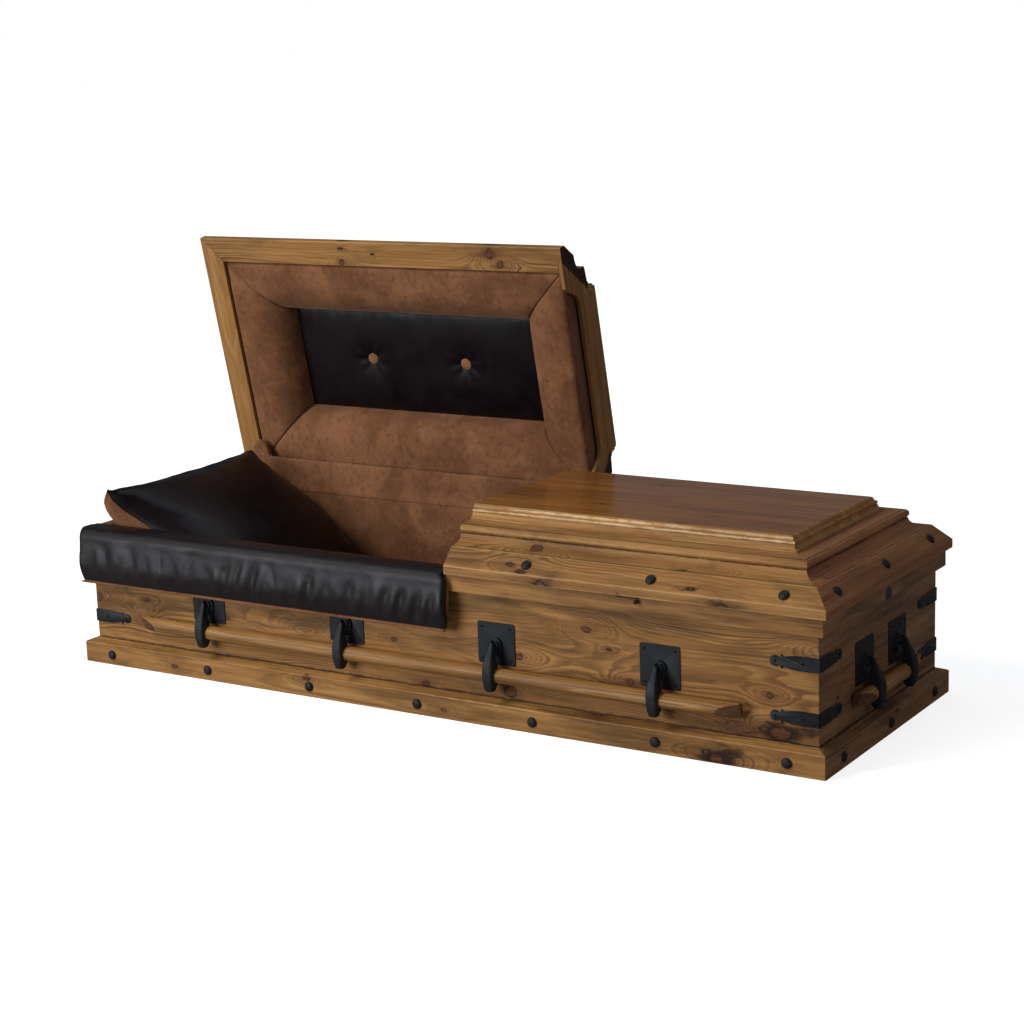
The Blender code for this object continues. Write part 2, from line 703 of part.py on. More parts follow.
def build_pillow():
    """A full pillow leaning from the floor to the top of the head end, fatter behind than in front."""
    columns, rows = 10, 10
    half_pillow = half_width - WALL_THICKNESS - FIT - LINING_THICKNESS - PILLOW_SIDE_GAP
    wall_x = -half_length + WALL_THICKNESS + LINING_THICKNESS
    floor_z = BOTTOM_THICKNESS + LINING_THICKNESS + FIT * 3
    top = Vector((wall_x + PILLOW_TOP_BACK, 0, PILLOW_TOP))
    foot = Vector((wall_x + PILLOW_REACH, 0, PILLOW_FOOT))
    along = foot - top
    normal = Vector((-along.z, 0, along.x)).normalized()
    bm = bmesh.new()

    def crown(u, v):
        across = (1 - abs(u) ** PILLOW_SQUARENESS) ** PILLOW_FULLNESS
        return across * (1 - abs(v) ** PILLOW_SQUARENESS) ** PILLOW_FULLNESS

    def place(u, v, height):
        pinch = 1 - PILLOW_PINCH * (1 - abs(v) ** 2)
        point = top + along * (v + 1) / 2 + normal * height
        point.y = u * pinch * half_pillow
        point.x = max(point.x, wall_x + FIT * 2)
        point.z = max(point.z, floor_z)
        return point

    grid = {}
    for i in range(columns + 1):
        for j in range(rows + 1):
            u = math.sin(math.pi / 2 * (2 * i / columns - 1))
            v = math.sin(math.pi / 2 * (2 * j / rows - 1))
            edge = i in (0, columns) or j in (0, rows)
            face_height = 0.0 if edge else PILLOW_FACE_CROWN * crown(u, v)
            back_height = 0.0 if edge else -PILLOW_BACK_CROWN * crown(u, v)
            grid[i, j, 0] = bm.verts.new(place(u, v, face_height))
            grid[i, j, 1] = grid[i, j, 0] if edge else bm.verts.new(place(u, v, back_height))
    for i in range(columns):
        for j in range(rows):
            for layer in (0, 1):
                around = ((i, j), (i + 1, j), (i + 1, j + 1), (i, j + 1))
                corners = [grid[a, b, layer] for a, b in around]
                bm.faces.new(corners if layer == 1 else list(reversed(corners)))
    add_object("pillow", mesh_from("pillow", bm, True, False), "leather")


def build():
    clear_scene()
    build_case()
    head_pivot = place_empty("head_lid_pivot", (0, hinge_y, hinge_z), (-OPEN_ANGLE, 0, 0))
    foot_pivot = place_empty("foot_lid_pivot", (0, hinge_y, hinge_z))
    pivots = {"head": head_pivot, "foot": foot_pivot}
    for half, pivot in pivots.items():
        build_lid(half, pivot)
    build_hinges(pivots)
    build_handles()
    build_case_lining()
    build_lining_flap()
    build_apron()
    build_pillow()


build()
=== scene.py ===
# Looks of the rustic pine casket: wood, iron, suede and leather around the fixed frame.
# Metres, +X to the foot end, front is -Y, +Z up. Head-lid pieces are made shut, then swung open.
import math

import bmesh
import bpy
from mathutils import Matrix, Vector, noise


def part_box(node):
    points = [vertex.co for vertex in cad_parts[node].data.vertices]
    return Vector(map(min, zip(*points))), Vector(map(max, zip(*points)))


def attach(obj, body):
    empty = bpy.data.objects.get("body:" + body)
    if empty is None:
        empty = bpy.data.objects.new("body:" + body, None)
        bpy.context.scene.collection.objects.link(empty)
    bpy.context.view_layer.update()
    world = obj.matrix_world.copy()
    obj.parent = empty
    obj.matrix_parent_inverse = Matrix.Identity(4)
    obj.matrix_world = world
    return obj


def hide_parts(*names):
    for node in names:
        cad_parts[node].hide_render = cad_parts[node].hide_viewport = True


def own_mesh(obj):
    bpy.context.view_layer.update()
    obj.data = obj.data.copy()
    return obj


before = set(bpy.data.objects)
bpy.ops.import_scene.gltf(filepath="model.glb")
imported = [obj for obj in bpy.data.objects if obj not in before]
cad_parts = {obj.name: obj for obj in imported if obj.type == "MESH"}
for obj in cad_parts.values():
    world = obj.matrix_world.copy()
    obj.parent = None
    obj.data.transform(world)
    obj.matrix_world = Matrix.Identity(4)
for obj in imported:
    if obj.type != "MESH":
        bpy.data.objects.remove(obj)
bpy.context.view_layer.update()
print("frame loaded:", len(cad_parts), "nodes")

sides = ("front", "back", "head", "foot")
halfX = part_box("wall_foot")[1].x
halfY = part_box("wall_back")[1].y
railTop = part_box("rail_front")[1].z
fit = 0.0003            # air between pieces that touch
lidBase = railTop + fit
lidSplit = {"at": 0.0935, "gap": 0.0015}     # where the two lids meet
inner = {"wall": 0.020, "lining": 0.008, "floor": 0.018}     # thicknesses of boards and lining
hinge = {"rail": 0.018, "pin": 0.0035, "open": math.radians(77.8), "ease": 0.0003}
hingeAt = Vector((0, halfY + hinge["rail"] + fit + hinge["pin"], railTop - fit - hinge["pin"]))
swing = Matrix.Translation(hingeAt) @ Matrix.Rotation(-hinge["open"], 4, "X") @ Matrix.Translation(-hingeAt)


def splitOf(half):
    # the x of a lid's sawn end
    side = -1 if half == "head" else 1
    return lidSplit["at"] + side * lidSplit["gap"] / 2


def quarter(steps):
    return [math.radians(90 * i / steps) for i in range(steps + 1)]


# Meshes

def addPiece(name, data):
    item = bpy.data.objects.new(name, data)
    bpy.context.scene.collection.objects.link(item)
    return item


def removePiece(item):
    bpy.data.objects.remove(item)


def meshOf(name, bm, angle=35):
    mesh = bpy.data.meshes.new(name)
    bm.to_mesh(mesh)
    bm.free()
    mesh.shade_smooth()
    mesh.set_sharp_from_angle(angle=math.radians(angle))
    return mesh


def loft(rings):
    # a closed solid through rings of points
    bm = bmesh.new()
    loops = [[bm.verts.new(point) for point in ring] for ring in rings]
    for lower, upper in zip(loops, loops[1:]):
        for i in range(len(lower)):
            j = (i + 1) % len(lower)
            bm.faces.new((lower[i], lower[j], upper[j], upper[i]))
    bm.faces.new(list(reversed(loops[0])))
    bm.faces.new(loops[-1])
    bmesh.ops.recalc_face_normals(bm, faces=bm.faces)
    return bm


def arc(a, b, radiusA, radiusB, start, stop, count):
    turns = [math.radians(start + (stop - start) * i / count) for i in range(count + 1)]
    return [(a + radiusA * math.cos(t), b + radiusB * math.sin(t)) for t in turns]


def solved(item, name):
    # the mesh that the item's modifiers make
    bpy.context.view_layer.update()
    graph = bpy.context.evaluated_depsgraph_get()
    mesh = bpy.data.meshes.new_from_object(item.evaluated_get(graph))
    mesh.name = name
    item.modifiers.clear()
    return mesh


def addBoolean(item, other, operation="DIFFERENCE"):
    change = item.modifiers.new("cut", "BOOLEAN")
    change.operation = operation
    change.solver = "EXACT"
    change.object = other


def combined(mesh, other, operation="DIFFERENCE", angle=None):
    item = addPiece("work", mesh)
    addBoolean(item, other, operation)
    result = solved(item, mesh.name)
    removePiece(item)
    if angle is not None:
        result.set_sharp_from_angle(angle=math.radians(angle))
    return result


def eased(mesh, width, segments=2, cutters=(), angle=32):
    # cuts first, then every sharp edge is eased, as a hand plane would
    item = addPiece("work", mesh)
    for cutter in cutters:
        addBoolean(item, cutter)
    ease = item.modifiers.new("ease", "BEVEL")
    ease.width = width
    ease.segments = segments
    ease.limit_method = "ANGLE"
    ease.angle_limit = math.radians(angle)
    ease.use_clamp_overlap = True
    ease.harden_normals = True
    result = solved(item, mesh.name)
    removePiece(item)
    return result


def relaxed(mesh, rounds, alongX=True):
    # rounds gives sets of vertices and how many times each is smoothed
    bm = bmesh.new()
    bm.from_mesh(mesh)
    for chosen, count in rounds(bm):
        for _ in range(count):
            bmesh.ops.smooth_vert(bm, verts=chosen, factor=0.5, use_axis_x=alongX, use_axis_y=True,
                                  use_axis_z=True)
    bm.to_mesh(mesh)
    bm.free()


def cadCopy(node):
    # a CAD mesh is loose triangles, so the copy is merged and its flat faces are joined first
    bm = bmesh.new()
    bm.from_mesh(bpy.data.objects[node].data)
    bmesh.ops.remove_doubles(bm, verts=bm.verts, dist=0.00001)
    bmesh.ops.dissolve_limit(bm, angle_limit=math.radians(1), verts=bm.verts, edges=bm.edges)
    return meshOf(node, bm)


def paintFaces(mesh, chosen):
    for polygon in mesh.polygons:
        polygon.material_index = 1 if chosen(polygon.center, polygon.normal) else 0


def setGrain(mesh, along, across, depth, shift=(0, 0, 0)):
    # the wood's own axes, so that the grain runs with each board
    along, across, depth, shift = (Vector(v) for v in (along, across, depth, shift))
    grain = mesh.attributes.new("grain", "FLOAT_VECTOR", "POINT")
    values = []
    for vertex in mesh.vertices:
        place = vertex.co
        values += [place.dot(axis) + start for axis, start in zip((along, across, depth), shift)]
    grain.data.foreach_set("vector", values)


def dress(mesh, materials):
    # clearing the slots would forget which faces have the second material
    marks = [polygon.material_index for polygon in mesh.polygons]
    mesh.materials.clear()
    for material in materials:
        mesh.materials.append(material)
    for polygon, mark in zip(mesh.polygons, marks):
        polygon.material_index = min(mark, len(materials) - 1)


def finishPiece(name, mesh, material, body, replaces=(), opened=False, second=None):
    # the open lid's pieces are made shut and swung last
    if opened:
        mesh.transform(swing)
    dress(mesh, [material, second] if second else [material])
    item = addPiece(name, mesh)
    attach(item, body)
    if replaces:
        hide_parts(*replaces)
    return item


# Shader building

def node(tree, kind, feeds=None, **settings):
    made = tree.nodes.new(kind)
    for key, value in settings.items():
        setattr(made, key, value)
    for key, value in (feeds or {}).items():
        socket = made.inputs[key]
        if isinstance(value, bpy.types.NodeSocket):
            tree.links.new(value, socket)
        else:
            socket.default_value = value
    return made


def maths(tree, operation, *values, clamp=False):
    feeds = dict(enumerate(values))
    return node(tree, "ShaderNodeMath", feeds, operation=operation, use_clamp=clamp).outputs[0]


def times(tree, first, second, clamp=False):
    return maths(tree, "MULTIPLY", first, second, clamp=clamp)


def plus(tree, first, second):
    return maths(tree, "ADD", first, second)


def minus(tree, first, second):
    return maths(tree, "SUBTRACT", first, second)


def joinXYZ(tree, x, y, z=0.0):
    return node(tree, "ShaderNodeCombineXYZ", {0: x, 1: y, 2: z}).outputs[0]


def splitXYZ(tree, vector):
    return node(tree, "ShaderNodeSeparateXYZ", {0: vector}).outputs


def vectors(tree, operation, *values):
    made = node(tree, "ShaderNodeVectorMath", dict(enumerate(values)), operation=operation)
    return made.outputs["Value" if operation in ("LENGTH", "DOT_PRODUCT") else "Vector"]


def scaled(tree, vector, x, y, z):
    return vectors(tree, "MULTIPLY", vector, (x, y, z))


def grain3(tree, vector, detail=2.0, roughness=0.5, distortion=0.0, output="Fac"):
    feeds = {"Vector": vector, "Scale": 1.0, "Detail": detail, "Roughness": roughness,
             "Distortion": distortion}
    return node(tree, "ShaderNodeTexNoise", feeds).outputs[output]


def jitter(tree, vector, detail, roughness):
    # noise in three directions around zero
    return vectors(tree, "SUBTRACT", grain3(tree, vector, detail, roughness, 0, "Color"), (0.5, 0.5, 0.5))


def addRelief(tree, shader, height, strength, distance):
    relief = node(tree, "ShaderNodeBump", {"Strength": strength, "Distance": distance, "Height": height})
    tree.links.new(relief.outputs["Normal"], shader.inputs["Normal"])


def smooth(tree, value, low, high, toLow=0.0, toHigh=1.0):
    feeds = {"Value": value, "From Min": low, "From Max": high, "To Min": toLow, "To Max": toHigh}
    return node(tree, "ShaderNodeMapRange", feeds, interpolation_type="SMOOTHSTEP").outputs["Result"]


def blend(tree, share, first, second, mode="MIX"):
    made = node(tree, "ShaderNodeMix", {0: share}, data_type="RGBA", blend_type=mode, clamp_factor=True)
    for socket, value in ((made.inputs[6], first), (made.inputs[7], second)):
        if isinstance(value, bpy.types.NodeSocket):
            tree.links.new(value, socket)
        else:
            socket.default_value = (*value, 1.0) if len(value) == 3 else value
    return made.outputs[2]


socketKinds = {"float": "NodeSocketFloat", "vector": "NodeSocketVector", "color": "NodeSocketColor"}


def newGroup(name, takes, gives):
    tree = bpy.data.node_groups.new(name, "ShaderNodeTree")
    for label, kind, *start in takes:
        socket = tree.interface.new_socket(label, in_out="INPUT", socket_type=socketKinds[kind])
        if start:
            socket.default_value = start[0]
    for label, kind in gives:
        tree.interface.new_socket(label, in_out="OUTPUT", socket_type=socketKinds[kind])
    return tree, tree.nodes.new("NodeGroupInput").outputs, tree.nodes.new("NodeGroupOutput").inputs


def useGroup(tree, group, feeds):
    made = tree.nodes.new("ShaderNodeGroup")
    made.node_tree = group
    for key, value in feeds.items():
        if isinstance(value, bpy.types.NodeSocket):
            tree.links.new(value, made.inputs[key])
        else:
            made.inputs[key].default_value = value
    return made.outputs


def figureGroup():
    # distance from the heart of the tree, in metres, wandering along the board
    takes = [("Grain", "vector"), ("Seed", "float"), ("Heart Across", "float"),
             ("Heart Depth", "float"), ("Wander", "float")]
    tree, given, out = newGroup("pineFigure", takes, [("Rings", "float"), ("Spot", "vector")])
    offset = joinXYZ(tree, *(times(tree, given["Seed"], step) for step in (7.31, 3.17, 5.77)))
    spot = vectors(tree, "ADD", given["Grain"], offset)
    slow = jitter(tree, scaled(tree, spot, 1.3, 3.5, 3.5), 2, 0.5)
    quick = jitter(tree, scaled(tree, spot, 8, 30, 30), 2, 0.5)
    moved = given["Grain"]
    for drift, reach in ((slow, given["Wander"]), (quick, times(tree, given["Wander"], 0.055))):
        step = node(tree, "ShaderNodeVectorMath", {0: drift, "Scale": reach}, operation="SCALE")
        moved = vectors(tree, "ADD", moved, step.outputs[0])
    parts = splitXYZ(tree, moved)
    across = minus(tree, parts[1], given["Heart Across"])
    depth = minus(tree, parts[2], given["Heart Depth"])
    square = plus(tree, *(times(tree, part, part) for part in (across, depth)))
    tree.links.new(maths(tree, "SQRT", square), out["Rings"])
    tree.links.new(spot, out["Spot"])
    return tree


def knotGroup():
    # the rings bend around a knot; its core, dark rim and stained halo are kept as masks
    takes = [("Grain", "vector"), ("Rings", "float"), ("Core", "float"), ("Rim", "float"),
             ("Halo", "float"), ("At", "vector"), ("Radius", "float", 0.01), ("Stretch", "float", 1.6),
             ("Smoke", "float", 0.6)]
    gives = [("Rings", "float"), ("Core", "float"), ("Rim", "float"), ("Halo", "float")]
    tree, given, out = newGroup("pineKnot", takes, gives)
    away = vectors(tree, "SUBTRACT", given["Grain"], given["At"])
    ragged = jitter(tree, scaled(tree, given["Grain"], 60, 95, 95), 3, 0.6)
    away = vectors(tree, "ADD", away, scaled(tree, ragged, 0.011, 0.009, 0))
    squeeze = joinXYZ(tree, maths(tree, "DIVIDE", 1.0, given["Stretch"]), 1.0)
    radius = maths(tree, "MAXIMUM", given["Radius"], 0.0002)
    ratio = maths(tree, "DIVIDE", vectors(tree, "LENGTH", vectors(tree, "MULTIPLY", away, squeeze)), radius)
    sweep = maths(tree, "DIVIDE", vectors(tree, "LENGTH", scaled(tree, away, 0.36, 1, 0)), radius)
    dent = maths(tree, "EXPONENT", times(tree, times(tree, sweep, sweep), -0.17))
    dent = times(tree, times(tree, dent, given["Radius"]), 2.5)
    tree.links.new(minus(tree, given["Rings"], dent), out["Rings"])
    smoke = given["Smoke"]
    core = times(tree, smooth(tree, ratio, 1.14, 0.20), smooth(tree, smoke, 0.0, 0.35))
    tree.links.new(maths(tree, "MAXIMUM", given["Core"], core), out["Core"])
    rim = smooth(tree, maths(tree, "ABSOLUTE", minus(tree, ratio, 0.98)), 0.26, 0.0)
    crumbs = grain3(tree, scaled(tree, given["Grain"], 60, 110, 110), 2, 0.5)
    broken = smooth(tree, crumbs, 0.35, 0.6, 0.3, 1.0)
    broken = times(tree, broken, smooth(tree, smoke, 0.0, 0.5, 0.15, 1.0))
    rim = times(tree, rim, broken)
    tree.links.new(maths(tree, "MAXIMUM", given["Rim"], rim), out["Rim"])
    wisp = grain3(tree, scaled(tree, given["Grain"], 14, 46, 46), 3, 0.6)
    past = maths(tree, "MAXIMUM", minus(tree, sweep, 0.7), 0.0)
    spread = times(tree, past, smooth(tree, wisp, 0.32, 0.68, -1.5, -0.25))
    halo = times(tree, maths(tree, "EXPONENT", spread), smoke)
    tree.links.new(maths(tree, "MAXIMUM", given["Halo"], halo), out["Halo"])
    return tree


def strayKnotGroup():
    # scattered small knots where none is listed
    takes = [("Grain", "vector"), ("Seed", "float"), ("Many", "float", 0.5)]
    tree, given, out = newGroup("pineStrayKnots", takes, [("At", "vector"), ("Radius", "float")])
    spacing = (0.30, 0.11)      # average cell along and across the grain
    parts = splitXYZ(tree, given["Grain"])
    lifted = joinXYZ(tree, *(plus(tree, maths(tree, "DIVIDE", part, step), given["Seed"])
                             for part, step in zip(parts, spacing)))
    cells = node(tree, "ShaderNodeTexVoronoi", {"Vector": lifted, "Scale": 1.0, "Randomness": 1.0},
                 voronoi_dimensions="2D").outputs
    spot = splitXYZ(tree, cells["Position"])
    back = joinXYZ(tree, *(times(tree, minus(tree, part, given["Seed"]), step)
                           for part, step in zip(spot, spacing)))
    chance = node(tree, "ShaderNodeSeparateColor", {0: cells["Color"]}).outputs
    chosen = maths(tree, "LESS_THAN", chance[0], given["Many"])
    radius = times(tree, chosen, smooth(tree, chance[1], 0.0, 1.0, 0.003, 0.010))
    tree.links.new(back, out["At"])
    tree.links.new(radius, out["Radius"])
    return tree


def edgeGroup():
    # a line that runs along the board, for edges where the stain is rubbed off and for lines of painted shade
    # in recesses and under the rail
    takes = [("Grain", "vector"), ("Line", "vector"), ("Width", "float", 0.003)]
    tree, given, out = newGroup("rubbedEdge", takes, [("Mask", "float")])
    away = scaled(tree, vectors(tree, "SUBTRACT", given["Grain"], given["Line"]), 0, 1, 1)
    uneven = grain3(tree, scaled(tree, given["Grain"], 34, 110, 110), 3, 0.65)
    width = times(tree, given["Width"], smooth(tree, uneven, 0.30, 0.66, 0.36, 1.35))
    mask = smooth(tree, maths(tree, "DIVIDE", vectors(tree, "LENGTH", away), width), 1.0, 0.25)
    tree.links.new(mask, out["Mask"])
    return tree


def toneGroup():
    # earlywood, latewood, stain, knots, rubbed edges and lines of painted shade become colour, gloss and
    # relief
    takes = [("Spot", "vector"), ("Rings", "float"), ("Core", "float"), ("Rim", "float"),
             ("Halo", "float"), ("Rubbed", "float"), ("Settled", "float"), ("Light", "color"),
             ("Middle", "color"), ("Dark", "color"), ("Knot", "color"), ("Pale", "color"),
             ("Rings Per Metre", "float", 210.0), ("Contrast", "float", 0.8), ("Stain", "float", 0.5)]
    gives = [("Color", "color"), ("Roughness", "float"), ("Height", "float")]
    tree, given, out = newGroup("pineTone", takes, gives)
    spot = given["Spot"]
    uneven = grain3(tree, scaled(tree, spot, 2.2, 22, 22), 2, 0.5)
    phase = times(tree, given["Rings"], given["Rings Per Metre"])
    phase = plus(tree, phase, times(tree, uneven, 2.6))
    turn = maths(tree, "FRACT", phase)
    year = node(tree, "ShaderNodeTexWhiteNoise", {"W": maths(tree, "FLOOR", phase)},
                noise_dimensions="1D").outputs["Value"]
    late = times(tree, smooth(tree, turn, 0.15, 0.84), smooth(tree, turn, 1.0, 0.90))
    late = times(tree, late, maths(tree, "MULTIPLY_ADD", year, 0.95, 0.30))
    patch = smooth(tree, grain3(tree, scaled(tree, spot, 1.6, 9, 9), 2, 0.5), 0.35, 0.65, 0.30, 1.0)
    late = times(tree, late, times(tree, patch, given["Contrast"]))
    bright = times(tree, smooth(tree, turn, 0.0, 0.05), smooth(tree, turn, 0.30, 0.08))
    bright = times(tree, bright, smooth(tree, year, 0.60, 0.95, 0.0, 0.75))
    bright = times(tree, bright, patch)
    streak = grain3(tree, scaled(tree, spot, 1.9, 42, 42), 4, 0.62)
    line = grain3(tree, scaled(tree, spot, 6.5, 230, 230), 3, 0.65)
    fibre = grain3(tree, scaled(tree, spot, 22, 1100, 1100), 2, 0.6)
    body = blend(tree, smooth(tree, streak, 0.34, 0.66), given["Middle"], given["Light"])
    body = blend(tree, smooth(tree, line, 0.50, 0.72, 0.0, 0.46), body, given["Dark"])
    body = blend(tree, smooth(tree, line, 0.44, 0.26, 0.0, 0.30), body, given["Light"])
    body = blend(tree, times(tree, late, 0.80), body, given["Dark"])
    body = blend(tree, times(tree, bright, 0.55), body, given["Pale"])
    body = blend(tree, smooth(tree, fibre, 0.5, 0.8, 0.0, 0.16), body, given["Dark"])
    cloud = grain3(tree, scaled(tree, spot, 2.6, 15, 15), 4, 0.62, 0.5)
    stain = times(tree, smooth(tree, cloud, 0.42, 0.68), given["Stain"])
    body = blend(tree, stain, body, (0.40, 0.40, 0.42), "MULTIPLY")
    knotAndShadeDark = (0.010, 0.005, 0.003)
    shade = blend(tree, 0.25, given["Dark"], given["Knot"])
    body = blend(tree, times(tree, given["Halo"], 0.72, clamp=True), body, shade)
    body = blend(tree, smooth(tree, given["Halo"], 0.55, 1.35, 0.0, 0.75), body, knotAndShadeDark)
    flame = blend(tree, 0.22, given["Knot"], given["Light"])
    kernel = blend(tree, smooth(tree, line, 0.35, 0.65), given["Knot"], flame)
    kernel = blend(tree, smooth(tree, given["Core"], 0.55, 0.12, 0.0, 0.75), kernel, knotAndShadeDark)
    kernel = blend(tree, times(tree, late, 0.9), kernel, knotAndShadeDark)
    body = blend(tree, smooth(tree, given["Core"], 0.0, 0.20, 0.0, 0.92), body, kernel)
    body = blend(tree, times(tree, given["Rim"], 0.55), body, knotAndShadeDark)
    rubbed = times(tree, given["Rubbed"], smooth(tree, streak, 0.3, 0.6, 0.08, 0.55))
    body = blend(tree, rubbed, body, given["Pale"])
    # painted shade: recesses, the wall under the rail and the seams by the plinth are darkened towards near
    # black
    body = blend(tree, times(tree, given["Settled"], 0.75), body, knotAndShadeDark)
    tree.links.new(body, out["Color"])
    gloss = plus(tree, smooth(tree, fibre, 0.3, 0.8, 0.0, 0.10), times(tree, late, -0.06))
    gloss = plus(tree, gloss, times(tree, given["Rubbed"], 0.12))
    tree.links.new(gloss, out["Roughness"])
    relief = plus(tree, times(tree, late, 0.5), times(tree, fibre, 0.35))
    relief = minus(tree, relief, times(tree, given["Rim"], 1.6))
    tree.links.new(relief, out["Height"])
    return tree


groups = {"figure": figureGroup(), "knot": knotGroup(), "stray": strayKnotGroup(),
          "edge": edgeGroup(), "tone": toneGroup()}

stains = {
    "honey": {"Light": (0.470, 0.236, 0.073), "Middle": (0.330, 0.156, 0.044), "Dark": (0.105, 0.045, 0.014),
              "Knot": (0.092, 0.024, 0.009), "Pale": (0.58, 0.36, 0.16)},
    "gilded": {"Light": (0.500, 0.262, 0.084), "Middle": (0.360, 0.172, 0.050), "Dark": (0.090, 0.036, 0.012),
               "Knot": (0.092, 0.024, 0.009), "Pale": (0.95, 0.76, 0.48)},
    "amber": {"Light": (0.40, 0.155, 0.032), "Middle": (0.27, 0.095, 0.018), "Dark": (0.095, 0.031, 0.007),
              "Knot": (0.075, 0.018, 0.007), "Pale": (0.56, 0.34, 0.14)},
    "russet": {"Light": (0.41, 0.178, 0.068), "Middle": (0.29, 0.115, 0.041), "Dark": (0.090, 0.029, 0.011),
               "Knot": (0.10, 0.022, 0.009), "Pale": (0.42, 0.22, 0.11)},
    "walnut": {"Light": (0.36, 0.185, 0.080), "Middle": (0.245, 0.118, 0.050), "Dark": (0.080, 0.034, 0.015),
               "Knot": (0.095, 0.028, 0.013), "Pale": (0.34, 0.19, 0.09)},
    "umber": {"Light": (0.17, 0.085, 0.036), "Middle": (0.12, 0.055, 0.023), "Dark": (0.045, 0.018, 0.008),
              "Knot": (0.05, 0.016, 0.007), "Pale": (0.20, 0.11, 0.05)},
    "burnt": {"Light": (0.050, 0.024, 0.011), "Middle": (0.034, 0.015, 0.007), "Dark": (0.012, 0.005, 0.003),
              "Knot": (0.012, 0.005, 0.003), "Pale": (0.08, 0.04, 0.02)},
}


def newMaterial(name, **values):
    material = bpy.data.materials.new(name)
    material.use_nodes = True
    shader = material.node_tree.nodes["Principled BSDF"]
    for label, value in values.items():
        shader.inputs[label.replace("_", " ")].default_value = value
    return material, material.node_tree, shader


def pine(name, stain="honey", seed=1.0, heart=(0.05, -0.09), wander=0.045, knots=(), rubbed=(), settled=(),
         rings=210.0, contrast=0.8, cloudy=0.45, stray=0.35, roughness=0.50, coat=0.08, coatRoughness=0.30,
         bump=0.40):
    material, tree, shader = newMaterial(name, Coat_Weight=coat, Coat_Roughness=coatRoughness,
                                         Specular_IOR_Level=0.32)
    grain = node(tree, "ShaderNodeAttribute", attribute_name="grain").outputs["Vector"]
    figure = useGroup(tree, groups["figure"], {
        "Grain": grain, "Seed": seed, "Heart Across": heart[0], "Heart Depth": heart[1], "Wander": wander})
    found = useGroup(tree, groups["stray"], {"Grain": grain, "Seed": seed, "Many": stray})
    state = useGroup(tree, groups["knot"], {
        "Grain": grain, "Rings": figure["Rings"], "Core": 0.0, "Rim": 0.0, "Halo": 0.0,
        "At": found["At"], "Radius": found["Radius"], "Stretch": 1.3, "Smoke": 0.7})
    for along, across, radius, stretch, smoke in knots:
        state = useGroup(tree, groups["knot"], {
            "Grain": grain, "Rings": state["Rings"], "Core": state["Core"], "Rim": state["Rim"],
            "Halo": state["Halo"], "At": (along, across, 0), "Radius": radius, "Stretch": stretch,
            "Smoke": smoke})
    masks = []
    for lines in (rubbed, settled):
        total = 0.0
        for across, depth, width in lines:
            mask = useGroup(tree, groups["edge"], {
                "Grain": grain, "Line": (0, across, depth), "Width": width})["Mask"]
            total = mask if isinstance(total, float) else maths(tree, "MAXIMUM", total, mask)
        masks.append(total)
    feeds = {key: (*value, 1.0) for key, value in stains[stain].items()}
    feeds.update({"Spot": figure["Spot"], "Rings": state["Rings"], "Core": state["Core"],
                  "Rim": state["Rim"], "Halo": state["Halo"], "Rubbed": masks[0], "Settled": masks[1],
                  "Rings Per Metre": rings, "Contrast": contrast, "Stain": cloudy})
    tone = useGroup(tree, groups["tone"], feeds)
    tree.links.new(tone["Color"], shader.inputs["Base Color"])
    tree.links.new(plus(tree, tone["Roughness"], roughness), shader.inputs["Roughness"])
    addRelief(tree, shader, tone["Height"], bump, 0.0006)
    return material


def suedeMaterial(name="suede", lift=1.0):
    material, tree, shader = newMaterial(name, Roughness=0.95, Sheen_Weight=0.25, Sheen_Roughness=0.45,
                                         Specular_IOR_Level=0.15)
    shader.inputs["Sheen Tint"].default_value = (0.75, 0.50, 0.36, 1)
    place = node(tree, "ShaderNodeTexCoord").outputs["Object"]
    cloud = grain3(tree, scaled(tree, place, 8, 8, 8), 3, 0.6, 0.3)
    brushed = grain3(tree, scaled(tree, place, 70, 70, 58), 5, 0.72, 0.4)
    nap = grain3(tree, scaled(tree, place, 900, 900, 900), 2, 0.5)
    tones = [tuple(value * lift for value in tone) for tone in (
        (0.150, 0.064, 0.030), (0.255, 0.115, 0.055), (0.086, 0.035, 0.017), (0.38, 0.195, 0.108))]
    color = blend(tree, smooth(tree, cloud, 0.32, 0.68), tones[0], tones[1])
    color = blend(tree, smooth(tree, brushed, 0.50, 0.70, 0.0, 0.60), color, tones[2])
    color = blend(tree, smooth(tree, brushed, 0.45, 0.28, 0.0, 0.30), color, tones[3])
    tree.links.new(color, shader.inputs["Base Color"])
    height = plus(tree, times(tree, brushed, 0.8), times(tree, nap, 0.35))
    addRelief(tree, shader, height, 0.35, 0.0012)
    return material


def leatherMaterial(name="leather", tint=(0.0062, 0.0030, 0.0046), roughness=0.45, gloss=0.55):
    material, tree, shader = newMaterial(name, Roughness=roughness, Specular_IOR_Level=gloss)
    place = node(tree, "ShaderNodeTexCoord").outputs["Object"]
    pebble = node(tree, "ShaderNodeTexVoronoi", {
        "Vector": scaled(tree, place, 620, 620, 620), "Scale": 1.0, "Randomness": 1.0},
        feature="SMOOTH_F1").outputs["Distance"]
    cloud = grain3(tree, scaled(tree, place, 14, 14, 14), 3, 0.6)
    darker = tuple(value * 0.6 for value in tint)
    color = blend(tree, smooth(tree, cloud, 0.35, 0.65), darker, tint)
    tree.links.new(color, shader.inputs["Base Color"])
    rough = plus(tree, smooth(tree, cloud, 0.3, 0.7, -0.05, 0.08), roughness)
    tree.links.new(rough, shader.inputs["Roughness"])
    addRelief(tree, shader, pebble, 0.22, 0.0005)
    return material


